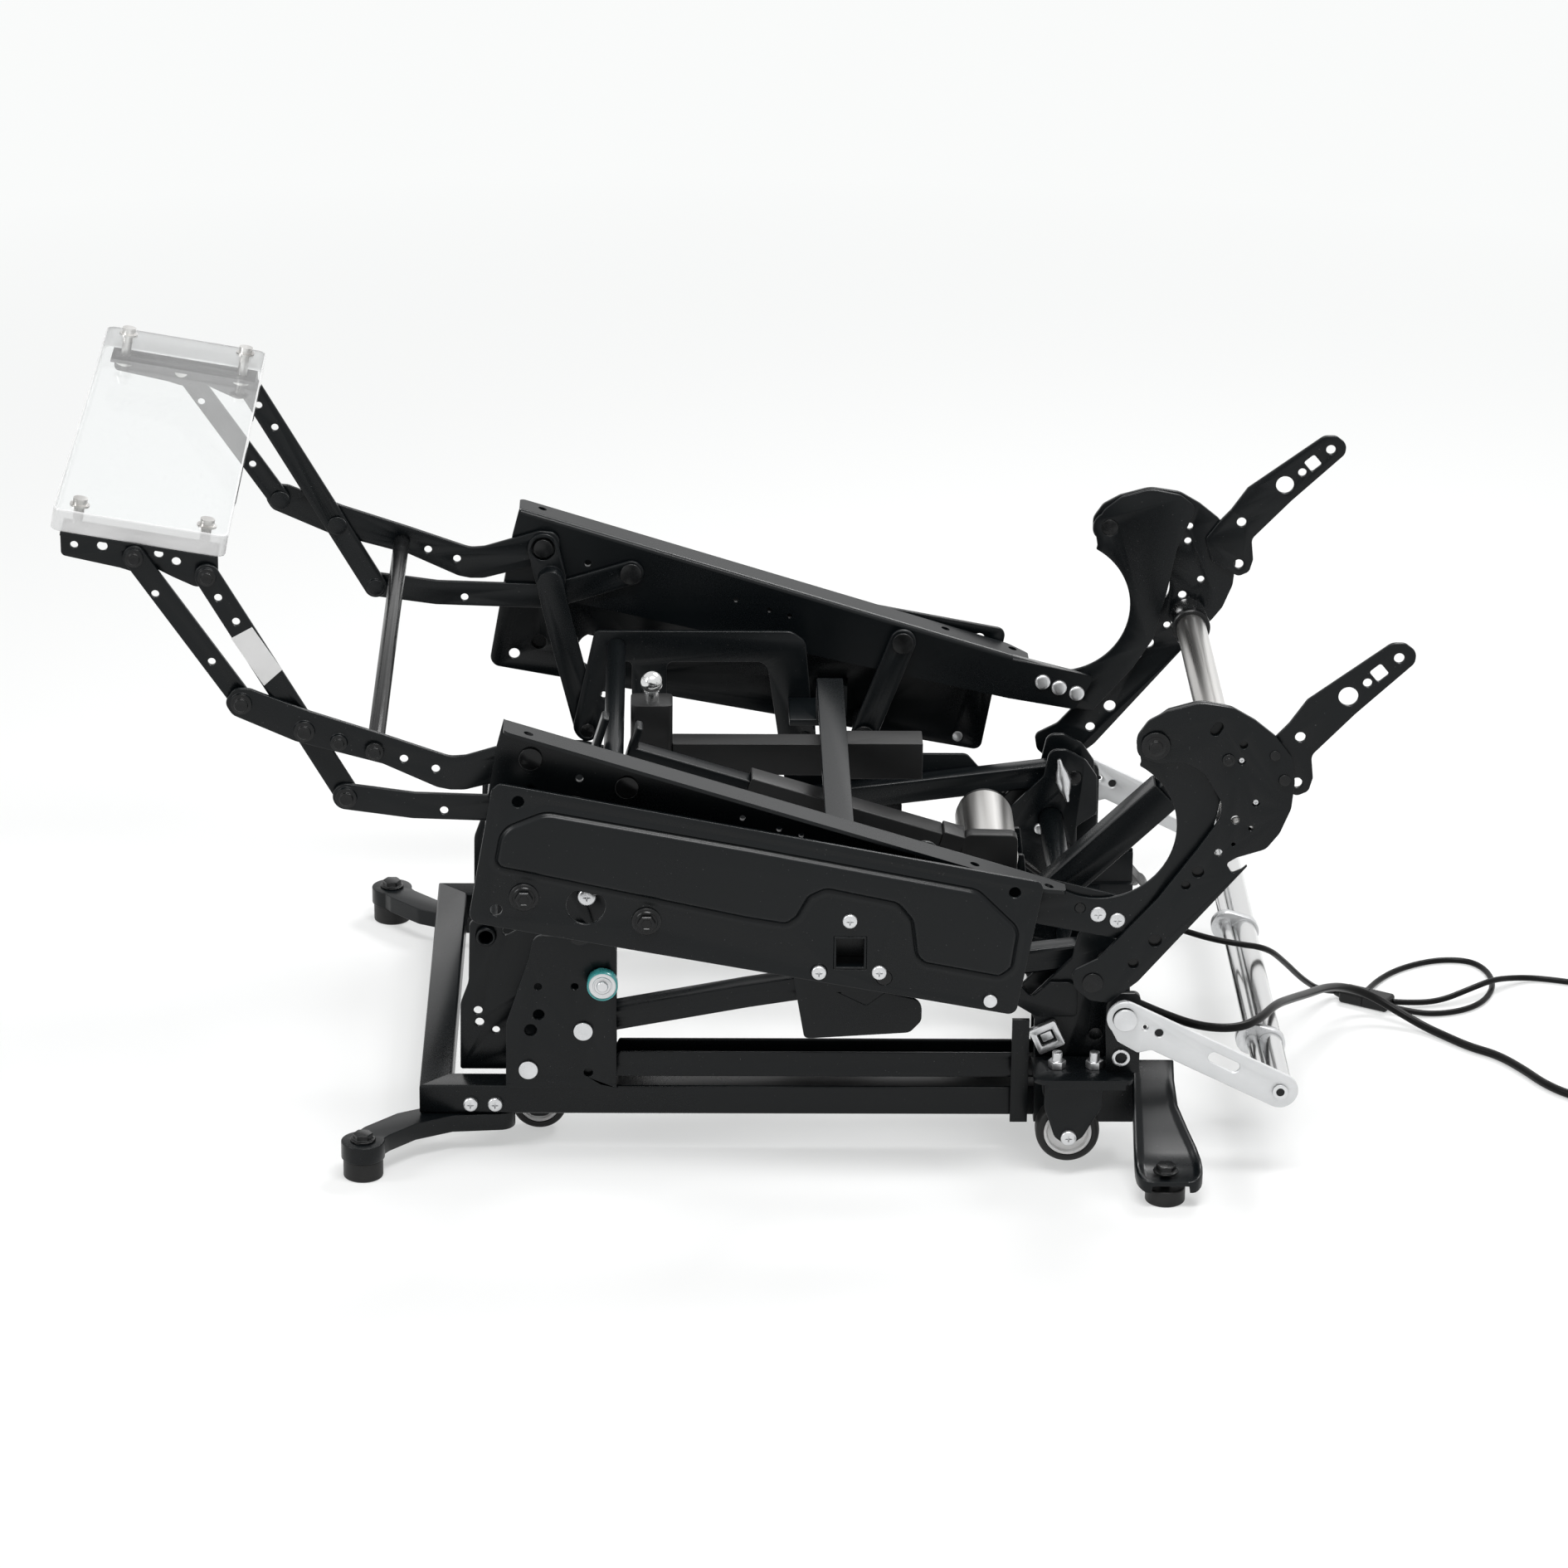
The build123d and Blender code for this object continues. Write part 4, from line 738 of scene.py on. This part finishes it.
# Domed heads of the pivots, on their flat CAD heads: body, distance from the middle, size, places
PIVOT_DOMES = (
    ("upper_links", 245.5, 1, [(-272, 364), (-319, 386)]),
    ("upper_links", 246, 0.8, [(-246, 355)]), ("upper_links", 246.5, 0.85, [(-219, 348)]),
    ("lower_links", 245.5, 1, [(-241, 310)]), ("seat", 259.5, 1, [(372, 360)]),
    ("back", 257.8, 0.5, [(428, 348)]), ("front_stays", 239.5, 0.85, [(-397, 500)]),
    ("rear_stays", 239.5, 0.85, [(-343, 485)]),
)

# Profile of such a head: a low flange, a raised boss and a shallow dimple
DOME = [(7.8, 0), (7.8, 0.5), (7.2, 0.9), (5.6, 1.1), (5.2, 1.5), (5.2, 2.7), (4.7, 3.3), (3.6, 3.4),
        (3, 3), (1.6, 2.8), (0, 2.8)]


def pivot_domes():
    shape = lofted_mesh("dome", [turned(DOME)], 50)
    for i, (body, distance, size, places) in enumerate(PIVOT_DOMES):
        spots = on_both_sides(places, distance)
        set_on(f"pivot_domes_{i}", body, shape, spots, "black_oxide", size)


# Sleeve and ring at each end of the back tube, from (radius, distance) points
SLEEVE = [(12.6, 0), (14.6, 0), (15.2, 0.6), (15.2, 23.4), (14.6, 24), (12.6, 24)]
SLEEVE_START = 222.0
SLEEVE_RING = [(12.6, 0), (15, 0), (16, 1), (16, 6.6), (15, 7.6), (12.6, 7.6)]
RING_START = 214.0
SLEEVE_SIDES = 64


def tube_sleeves():
    sleeves = turned_pieces("tube_sleeves", "back", SLEEVE, on_both_sides([BACK_TUBE], SLEEVE_START),
                            "polished_steel", True, SLEEVE_SIDES)
    rings = turned_pieces("tube_rings", "back", SLEEVE_RING, on_both_sides([BACK_TUBE], RING_START),
                          "black_oxide", True, SLEEVE_SIDES)
    for piece in (sleeves, rings):
        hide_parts("back_fittings")


# Caps behind holes of the near back plate, as (x, z, radius), and two small screws in them
PLATE_INNER = -252.3
PLATE_CAPS = [(439, 360, 4.2), (408, 256, 5.6), (399, 245, 4.6), (377, 199, 6.2),
              (361, 180, 5.2), (438, 347, 4.2), (450, 313, 4.2)]
PLATE_SCREWS = [(438, 347), (450, 313)]
CAP_THICKNESS = 1.2


def plate_caps():
    shells = [turned(rod(radius, CAP_THICKNESS), turned_frame(spot(x, PLATE_INNER, z), (0, 1, 0)))
              for x, z, radius in PLATE_CAPS]
    lofted_piece("plate_caps", shells, "back", "black_oxide")
    set_on("plate_screws", "back", head_mesh(2.8, 2.2, 1.5),
           [(x, PLATE_INNER, z, (0, -1, 0)) for x, z in PLATE_SCREWS])


# A small bright lug on each rear bracket, from (radius, distance) points
LUG = [(0, -20), (1.5, -19), (2.6, -14), (5.2, -7), (6.4, 0), (5, 7), (2.6, 13), (1.7, 19),
       (0, 20)]
LUG_PLACE = (333.7, 170.5, 163.2)
LUG_WAY = (-0.213, 0, 0.977)


def bracket_lugs():
    x, y, z = LUG_PLACE
    turned_pieces("bracket_lugs", "carriage", LUG, [(x, side * y, z, LUG_WAY) for side in SIDES])


# Side stops: a plastic ring round a zinc disc
STOP = (-46.9, 145.3)
STOP_START = 212.0
STOP_RING = [(10.7, 2), (11.6, 2), (12, 2.5), (12, 11.4), (11.6, 12), (10.9, 12), (10.7, 11.6)]
STOP_DISC = [(0, 0), (4, 0), (4, 2), (10.7, 2), (10.7, 11), (10.2, 11.3), (7.8, 11), (7.4, 11.6),
             (6.6, 11.7), (6.2, 11.1), (4.6, 11), (4.4, 12.6), (3.9, 13.1), (0, 13.2)]


def side_stops():
    places = on_both_sides([STOP], STOP_START)
    ring = turned_pieces("stop_rings", "base", STOP_RING, places, "teal_ring", closed=True)
    disc = turned_pieces("stop_discs", "base", STOP_DISC, places)
    for piece in (ring, disc):
        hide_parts("side_stops")


# Wheels: a rubber tyre on a white rim
def mirrored(profile):
    """The (radius, height) points of one half, followed by the other half."""
    return profile + [(radius, -height) for radius, height in reversed(profile)]


def tyre_profile(radius, half, seat):
    return mirrored([(seat, -half * 0.8), (seat + 0.6, -half * 0.95), (seat + 2.4, -half),
                     (radius - 1.8, -half * 0.93), (radius - 0.5, -half * 0.75), (radius, -half * 0.4)])


def rim_profile(half, seat):
    return mirrored([(4.1, -half * 0.95), (7.5, -half * 0.95), (8.2, -half * 0.85), (8.8, -half * 0.6),
                     (seat - 3.0, -half * 0.6), (seat - 2.0, -half * 0.86), (seat, -half * 0.86)])


# Name, axle, radius, half the width, distance from the middle, radius of the seat of the tyre
WHEELS = (("rear", REAR_AXLE, 25, 10, 240, 18.6), ("front", FRONT_AXLE, 22, 8, 165, 16))


def caster_wheels():
    for name, axle, radius, half, y, seat in WHEELS:
        for side, label in ((NEAR, "near"), (FAR, "far")):
            body = f"{name}_wheel_{label}"
            places = [(axle[0], side * y, axle[1], (0, 1, 0))]
            tyre = turned_pieces(f"{name}_tyre_{label}", body, tyre_profile(radius, half, seat), places,
                                 "rubber", closed=True, sides=72)
            rim = turned_pieces(f"{name}_rim_{label}", body, rim_profile(half, seat), places,
                                "white_plastic", closed=True)
            for piece in (tyre, rim):
                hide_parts(f"{name}_caster_{label}")


# Raised field of each side panel, from (x, z, radius) corners, and its (inset, rise) steps
FIELD = [(-125, 272, 5), (-120, 299, 16), (-89, 312, 20), (63, 284, 0), (237, 250, 16), (268, 219, 12),
         (264, 189, 6), (256, 183, 6), (200, 194, 6), (195, 199, 6), (191, 228, 14), (179, 243, 14),
         (123, 255, 14), (109, 248, 12), (100, 231, 8), (93, 226, 6), (63, 231, 0)]
FIELD_RISE = [(-8.5, 0), (-7, 0.3), (-5.4, 1), (-4.4, 1.25), (-3.6, 1), (-2.9, 0.4), (-2.4, 0.15),
              (-1.8, 0.45), (-1, 1.6), (-0.2, 2.7), (0.6, 3.3), (1.6, 3.6), (3, 3.7)]
CORNER_STEPS = 7


def rounded_outline(corners):
    """Points of a closed outline whose (x, z, radius) corners are arcs."""
    made = []
    count = len(corners)
    for i in range(count):
        x, z, radius = corners[i]
        here = Vector((x, z))
        before = (Vector(corners[i - 1][:2]) - here).normalized()
        after = (Vector(corners[(i + 1) % count][:2]) - here).normalized()
        if radius == 0:
            made.append(here)
            continue
        half = before.angle(after) / 2
        centre = here + (before + after).normalized() * (radius / math.sin(half))
        start = here + before * (radius / math.tan(half)) - centre
        end = here + after * (radius / math.tan(half)) - centre
        sweep = start.angle_signed(end)
        for step in range(CORNER_STEPS + 1):
            turn = -sweep * step / CORNER_STEPS
            made.append(centre + Matrix.Rotation(turn, 2) @ start)
    return made


def moved_in(outline, distance):
    """The outline moved inwards, along the mean normal of each point."""
    made = []
    count = len(outline)
    area = sum(outline[i - 1].cross(outline[i]) for i in range(count))
    turn = 1 if area > 0 else -1
    for i in range(count):
        before = (outline[i] - outline[i - 1]).normalized()
        after = (outline[(i + 1) % count] - outline[i]).normalized()
        first = Vector((-before.y, before.x)) * turn
        second = Vector((-after.y, after.x)) * turn
        mean = (first + second).normalized()
        made.append(outline[i] + mean * (distance / max(0.3, mean.dot(first))))
    return made


def panel_fields():
    outline = rounded_outline(FIELD)
    shells = [[level_ring(side * (PANEL_FACE + rise), moved_in(outline, inset))
               for inset, rise in FIELD_RISE] for side in SIDES]
    lofted_piece("panel_fields", shells, "carriage", "powder_coat", 50)


# Closed backs of the square sockets, and the web of each carriage frame behind the panel's lower edge
SOCKET = [(129.9, 186), (154.9, 186), (154.9, 213), (129.9, 213)]
SOCKET_BACK = (262, 260)
FRAME_WEB = [(138, 118), (178, 118), (178, 156), (138, 156)]
WEB_FACES = (213, 216)

# Painted shade on the handle bar's arms: dark discs flush with the face where the bores are, as (x, z,
# radius, distance of the face), and a dark C-shaped strip standing for the shade in the slot
BORE_SHADE_DISCS = [(477.4, 76.5, 3.3, 266.1), (382, 125.2, 3.3, 262.5), (371, 130, 1.5, 263.2)]
SHADE_DISC_DEPTH = 1
ARM_SLOT = (355.4, 137)
SLOT_RADIUS = 8.6
SLOT_HALF = 1.1
SLOT_SHADE_FACES = (263.5, 264.1)
SLOT_START, SLOT_SWEEP = 35, 205
SLOT_STEPS = 24


def painted_bore_shade():
    # Dark discs and a dark C-shaped strip on the arms: painted shade standing for the holes and the slot
    body = BODY_OF["tilt_arms"]
    for i, (x, z, radius, face) in enumerate(BORE_SHADE_DISCS):
        turned_pieces(f"arm_bores_{i}", body, rod(radius, SHADE_DISC_DEPTH),
                      on_both_sides([(x, z)], face - SHADE_DISC_DEPTH), "black_oxide")
    low, high = SLOT_SHADE_FACES
    shells = []
    for side in SIDES:
        rings = []
        for step in range(SLOT_STEPS + 1):
            share = step / SLOT_STEPS
            angle = math.radians(SLOT_START + SLOT_SWEEP * share)
            inner = SLOT_RADIUS - SLOT_HALF * math.sin(math.pi * share) ** 0.5
            outer = 2 * SLOT_RADIUS - inner
            rings.append([spot(ARM_SLOT[0] + reach * math.cos(angle), side * face,
                               ARM_SLOT[1] + reach * math.sin(angle))
                          for reach, face in ((inner, low), (outer, low), (outer, high), (inner, high))])
        shells.append(rings)
    # The thin dark strip is painted shade, standing for the gap of the slot round the pin
    lofted_piece("arm_slots", shells, body, "black_oxide")


# Rear feet: pressed channels with a raised rim, as (y, height, inset of both edges, depth of the pan)
FOOT_LINE = [
    (219.5, 83, 0, 0), (221, 82.2, 0, 0.4), (232, 72, 0, 1.6), (248, 58, 0, 3.2),
    (262, 45, 0, 3.4), (274, 34, 0, 3.4), (282, 28, 0, 3.4), (290, 25, 0, 3.4),
    (300, 24.2, 0.6, 3.4), (306, 24, 2, 3), (310.5, 23.4, 4.2, 1.6), (312.8, 22.4, 6.6, 0.4),
    (313.9, 20.8, 9, 0),
]
FOOT_LEFT = 365.0
FOOT_BOTTOM = 13.2
FOOT_SKIRT = 9.5
FOOT_WALL = 2.2
FOOT_RIM = [(0, -1), (0.7, -0.25), (1.9, 0), (3.2, -0.15), (4.6, -0.45), (6.2, -0.85), (8, -1)]


def foot_right(y):
    """The right edge widens towards the tip."""
    share = min(1.0, max(0.0, (y - 238.0) / 50.0))
    return 398.0 + 19.0 * share * share * (3 - 2 * share)


def foot_section(y, top, inset, pan):
    """The closed outline of the channel at one distance from the middle, as (x, z)."""
    left, right = FOOT_LEFT + inset, foot_right(y) - inset
    low = max(FOOT_BOTTOM, top - FOOT_SKIRT)
    over = [(0.0, low)]
    over += [(along, top + (rise * pan if along > 1 else rise)) for along, rise in FOOT_RIM]
    under = [(FOOT_WALL, low)]
    under += [(max(along, 0.6) + FOOT_WALL, z - FOOT_WALL) for along, z in over[1:]]
    over = [(left + along, z) for along, z in over] + [(right - along, z) for along, z in reversed(over)]
    under = [(left + along, z) for along, z in under] + [(right - along, z) for along, z in reversed(under)]
    return over + under[::-1]


def pressed_feet():
    """The rear feet as pressed sheet, and the front arms from the CAD node."""
    eased("foot_arms", 0.7, 3, drop=lambda x, y, z: x > 0)
    shells = [[level_ring(side * y, foot_section(y, top, inset, pan)) for y, top, inset, pan in FOOT_LINE]
              for side in SIDES]
    feet = lofted_piece("rear_feet", shells, "base", "powder_coat", 50)
    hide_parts("foot_arms")


# Cords
THIN, THICK = 2.5, 3.5
WOUND_GAP = 0.6
FLOOR_GAP = 0.3
UPPER_CORD = [
    (262, 79, 171), (262, 96, 170), (274, 108, 146), (298, 100, 116), (332, 76, 105), (372, 38, 104),
    (410, 3, 103), (440, -16, 100), (465, -26, 99), (490, -18, 92), (508, 14, 66), (527, 48, 36),
    (546, 78, 13), (560, 93, 6),
]
LOOP_CORD = [
    (584, 89, 6), (590, 104, 4), (600, 124, 2.8), (616, 144, 2.8), (638, 160, 2.8), (660, 168, 2.8),
    (682, 165, 2.8), (693, 147, 2.8), (696, 122, 2.8), (691, 97, 2.8), (679, 74, 2.8), (660, 59, 2.8),
    (636, 53, 2.8), (615, 57, 4), (601, 63, 6),
]
TAIL_CORD = [
    (606, 71, 6), (626, 73, 4), (648, 77, 5), (672, 89, 10), (693, 106, 11), (712, 122, 6), (730, 129, 3),
    (748, 125, 2.8), (765, 119, 2.8), (786, 118, 2.8), (812, 118, 2.8),
]
LOWER_CORD = [
    (262, -27, 148), (262, -27, 128), (274, -34, 106), (302, -54, 97), (334, -88, 96), (364, -130, 98),
    (392, -166, 99), (420, -192, 99), (450, -193, 98), (470, -171, 97), (485, -136, 94), (503, -88, 78),
    (523, -38, 61), (541, 6, 47), (560, 38, 34), (582, 49, 23), (606, 38, 12), (626, 23, 5), (642, 5, 4),
    (659, -16, 4), (680, -32, 4), (697, -60, 4), (711, -90, 4), (730, -112, 4), (754, -124, 4),
    (778, -128, 4), (800, -128, 4),
]

# Each put-away coil: its middle, outer radius, cord radius and straight run to the plug
TAIL_COIL = ((812, 82), 36, THIN, 26)
LOWER_COIL = ((800, -178), 50, THICK, 32)
TURNS = 3
STEPS = 7


def coil_points(centre, outer, radius, run):
    """Control points of the wound part: half turns in, up a layer, and out again."""
    pitch = 2 * radius + WOUND_GAP
    at = Vector((centre[0], centre[1] + outer, radius + FLOOR_GAP))
    heading = Vector((1, 0, 0))
    reach = 2 * outer - pitch / 2
    stretch = 1 / math.cos(math.pi / (2 * STEPS))
    made = []
    halves = 4 * TURNS
    for count in range(halves):
        if count > 2 * TURNS:
            reach += pitch
        rise = pitch if count == 2 * TURNS else 0.0
        across = Vector((heading.y, -heading.x, 0))
        middle = at + across * (reach / 2)
        for i in range(STEPS):
            share = (i + 0.5) / STEPS
            angle = math.pi * share
            made.append(middle - across * (reach / 2 * stretch * math.cos(angle))
                        + heading * (reach / 2 * stretch * math.sin(angle)) + Vector((0, 0, rise * share)))
        at = at + across * reach + Vector((0, 0, rise))
        heading = -heading
        if count < 2 * TURNS:
            reach -= pitch
    made.append(at)
    made.append(at + heading * (run * 0.5))
    made.append(at + heading * run)
    return made


def cord_curve(name, points, radius):
    data = bpy.data.curves.new(name, "CURVE")
    data.dimensions = "3D"
    data.bevel_depth = radius * MM
    data.bevel_resolution = 5
    data.resolution_u = 8
    data.use_fill_caps = True
    line = data.splines.new("NURBS")
    line.points.add(len(points) - 1)
    for knot, (x, y, z) in zip(line.points, points):
        knot.co = (*spot(x, y, z), 1)
    line.order_u = 3
    line.use_endpoint_u = True
    return new_piece(name, data, "base", "cord_sheath")


def cord_line(thing):
    """The points of a cord's own smooth line."""
    data = thing.data.copy()
    data.bevel_depth = 0
    bare = put_in_scene("bare_line", data)
    mesh = evaluated_mesh(bare)
    points = [v.co.copy() for v in mesh.vertices]
    bpy.data.meshes.remove(mesh)
    bpy.data.objects.remove(bare)
    bpy.data.curves.remove(data)
    return points


# Ribbed sleeve at the start of a cord: distance along it and thickness over the cord
RELIEF = (
    (0, 2.4), (2, 2.4), (3, 2), (3.6, 1.4), (5.4, 1.4), (6, 1.9), (7.6, 1.8), (8.2, 1.25),
    (10, 1.2), (10.6, 1.6), (12, 1.5), (12.6, 1), (14.4, 0.95), (15, 1.25), (16.4, 1.15),
    (17, 0.7), (20, 0.5), (20.6, 0.02),
)
RELIEF_SIDES = 20


def strain_relief(name, line, radius):
    """A ribbed sleeve that tapers along the first stretch of a cord."""
    rings = []
    steps = list(RELIEF)
    gone = 0.0
    last = line[0]
    for here in line[1:]:
        stretch = (here - last).length / MM
        while steps and gone + stretch >= steps[0][0] and stretch > 0:
            along, extra = steps.pop(0)
            place = turned_frame(last.lerp(here, max(0.0, (along - gone) / stretch)), here - last)
            rings += turned([(radius + extra, 0.0)], place, RELIEF_SIDES)
        gone += stretch
        last = here
    lofted_piece(name, [rings], "base", "black_plastic", 60)


TIE_HALF = 5.0
TIE_WALL = 1.0
TIE_SLACK = 1.6
TIE_LOW = 0.25
TIE_UNDERSIDE = 0.02


def coil_tie(name, centre, outer, radius):
    """A flat strap round the turns of a coil, on its left side."""
    pitch = 2 * radius + WOUND_GAP
    left = centre[0] - outer - TIE_SLACK
    right = left + pitch * TURNS + TIE_WALL + TIE_SLACK
    high = 2 * radius + pitch + 2 * FLOOR_GAP
    inside = [(left, TIE_LOW), (right, TIE_LOW), (right, high), (left, high)]
    left, right, high = left - TIE_WALL, right + TIE_WALL, high + TIE_WALL
    outside = [(left, TIE_UNDERSIDE), (right, TIE_UNDERSIDE), (right, high), (left, high)]
    rings = [level_ring(centre[1] + y, loop) for y, loop in (
        (-TIE_HALF, inside), (-TIE_HALF, outside), (TIE_HALF, outside), (TIE_HALF, inside))]
    lofted_piece(name, [rings], "base", "black_plastic", closed=True)


# Plugs: distance along and share of the width, and the (radius, distance) points of the steel collar
PLUG_BODY = [(0, 0.5), (0.8, 0.62), (2, 0.66), (2.6, 0.5), (4.4, 0.5), (5, 0.72), (6.6, 0.72),
             (7.2, 0.56), (9, 0.56), (9.6, 0.86), (11, 0.96), (13, 1), (22.5, 1), (24, 0.93),
             (25, 0.8)]
PLUG_HALF = 6.9
PLUG_SIDES = 28
COLLAR = [(4.4, 0), (4.4, 8.6), (4.1, 9), (3.7, 9), (3.6, 8.6), (3.6, 1), (0, 1)]
COLLAR_START = 24.5


def squircle(sides):
    """A rounded square of half width 1."""
    made = []
    for i in range(sides):
        angle = 2 * math.pi * (i + 0.5) / sides
        c, s = math.cos(angle), math.sin(angle)
        reach = (abs(c) ** 4 + abs(s) ** 4) ** -0.25
        made.append((c * reach, s * reach))
    return made


def plug(name, end, low, high):
    """A moulded plug with a ribbed neck and a steel collar, in the space of its CAD block."""
    middle = (low + high) / 2
    rings = []
    for along, share in PLUG_BODY:
        wide, tall = PLUG_HALF * share, (high - low) / 2 * share
        rings.append([spot(end.x + along, end.y + wide * y, middle + tall * z)
                      for y, z in squircle(PLUG_SIDES)])
    body = lofted_piece(name, [rings], "base", "black_plastic")
    collar = turned_pieces(name + "_collar", "base", COLLAR,
                           [(end.x + COLLAR_START, end.y, middle, (1, 0, 0))])
    return body, collar


def lay_cords():
    upper = cord_curve("upper_lead", UPPER_CORD, THIN)
    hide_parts("upper_cord")
    tuple(spot(*UPPER_CORD[0]))
    loop = cord_curve("loop_lead", LOOP_CORD, THIN)
    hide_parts("loop_cord")
    tuple(spot(*LOOP_CORD[0]))
    wound = coil_points(*TAIL_COIL)
    tail = cord_curve("tail_lead", TAIL_CORD[:-1] + wound, THIN)
    tail_plug = plug("tail_plug", wound[-1], FLOOR_GAP, wound[-1].z + THIN + 3)
    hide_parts("tail_cord", "tail_coil")
    tuple(spot(*TAIL_CORD[0]))
    wound = coil_points(*LOWER_COIL)
    lower = cord_curve("lower_lead", LOWER_CORD[:-1] + wound, THICK)
    lower_plug = plug("lower_plug", wound[-1], FLOOR_GAP, wound[-1].z + THICK + 3)
    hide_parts("lower_cord", "lower_coil")
    tuple(spot(*LOWER_CORD[0]))
    for piece in (*tail_plug, *lower_plug):
        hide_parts("cord_plugs")
    strain_relief("upper_strain_relief", cord_line(upper), THIN)
    strain_relief("lower_strain_relief", cord_line(lower), THICK)
    coil_tie("tail_tie", *TAIL_COIL[:3])
    coil_tie("lower_tie", *LOWER_COIL[:3])


# Footrest board: clear faces and a frosted rim, as (inset of the outline, height above the underside)
BOARD_LEFT = (-460, 519.8)
BOARD_SLOPE = math.radians(9.6)
BOARD_SIZE = (132, 232)
BOARD_CORNER = 8.0
BOARD_FACE = 0.01
BOARD_RIM = [(1.3, 0), (0.35, 0.4), (0, 1.3), (0, 16.2), (0.35, 17.1), (1.3, 17.5)]


def board_spot(along, y, up):
    rise, run = math.sin(BOARD_SLOPE), math.cos(BOARD_SLOPE)
    return spot(BOARD_LEFT[0] + along * run + up * rise, y, BOARD_LEFT[1] - along * rise + up * run)


def footrest_board():
    long, half = BOARD_SIZE
    rings = []
    for inset, up in BOARD_RIM:
        left, right, reach = inset, long - inset, half - inset
        corners = [(left, -reach), (right, -reach), (right, reach), (left, reach)]
        outline = rounded_outline([(along, y, BOARD_CORNER - inset) for along, y in corners])
        rings.append([board_spot(p.x, p.y, up) for p in outline])
    node = "footrest_board"
    board = lofted_piece("clear_footrest", [rings], BODY_OF[node], "clear_board", 15)
    board.data.materials.append(MATERIALS["frosted_edge"])
    for face in board.data.polygons:
        face.material_index = 1 if face.area < BOARD_FACE else 0
    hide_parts("footrest_board")


# Blank label on the near rear stay
LABEL = [(-310, 445), (-326, 436), (-302, 398), (-288, 411)]
LABEL_FACES = (237, 237.15)

# Floor and light
FLOOR_HALF = 14.0
FILL_LEVEL = 0.34
WHITE_LEVEL = 0.97


def lay_floor():
    mesh = bpy.data.meshes.new("floor")
    corners = [(-FLOOR_HALF, -FLOOR_HALF, 0), (FLOOR_HALF, -FLOOR_HALF, 0), (FLOOR_HALF, FLOOR_HALF, 0),
               (-FLOOR_HALF, FLOOR_HALF, 0)]
    mesh.from_pydata(corners, [], [(0, 1, 2, 3)])
    floor = put_in_scene("floor", mesh)
    paint(floor, "floor_white")


def soft_lamp(name, place, aim, size, power):
    data = bpy.data.lights.new(name, "AREA")
    data.shape = "RECTANGLE"
    data.size, data.size_y = size
    data.energy = power
    lamp = put_in_scene(name, data)
    lamp.location = place
    lamp.rotation_mode = "QUATERNION"
    lamp.rotation_quaternion = (Vector(aim) - Vector(place)).to_track_quat("-Z", "Y")


def light_studio():
    """An even white for the camera and in reflections, a softer fill, and three soft boxes."""
    world = bpy.data.worlds.new("studio")
    bpy.context.scene.world = world
    world.use_nodes = True
    tree = world.node_tree
    back = tree.nodes["Background"]
    back.inputs["Color"].default_value = (1, 1, 1, 1)
    path = tree.nodes.new("ShaderNodeLightPath")
    first = tree.nodes.new("ShaderNodeMath")
    second = tree.nodes.new("ShaderNodeMath")
    level = tree.nodes.new("ShaderNodeMapRange")
    for ray, socket in (("Is Camera Ray", 0), ("Is Glossy Ray", 1)):
        tree.links.new(path.outputs[ray], first.inputs[socket])
    tree.links.new(first.outputs[0], second.inputs[0])
    tree.links.new(path.outputs["Is Transmission Ray"], second.inputs[1])
    tree.links.new(second.outputs[0], level.inputs["Value"])
    level.inputs["To Min"].default_value = FILL_LEVEL
    level.inputs["To Max"].default_value = WHITE_LEVEL
    tree.links.new(level.outputs[0], back.inputs["Strength"])
    soft_lamp("top_box", (0.2, -0.9, 2.4), (0, 0, 0.2), (1.5, 0.5), 40)
    soft_lamp("rear_box", (1.0, 1.2, 2.0), (0.1, 0, 0.2), (1.0, 0.7), 34)
    soft_lamp("left_box", (-2.0, -0.7, 1.5), (0, 0, 0.25), (0.5, 1.2), 14)


place_camera()
lay_cords()
finish_nodes()
ease_metal()
set_screws()
pivot_domes()
tube_sleeves()
plate_caps()
bracket_lugs()
side_stops()
caster_wheels()
panel_fields()
plates("socket_backs", SOCKET, SOCKET_BACK, "carriage", "powder_coat")
plates("frame_webs", FRAME_WEB, WEB_FACES, "carriage", "powder_coat")
painted_bore_shade()
pressed_feet()
footrest_board()
plates("blank_label", LABEL, LABEL_FACES, "rear_stays", "paper", sides=(NEAR,))
lay_floor()
light_studio()

bpy.context.scene.view_settings.view_transform = "Standard"
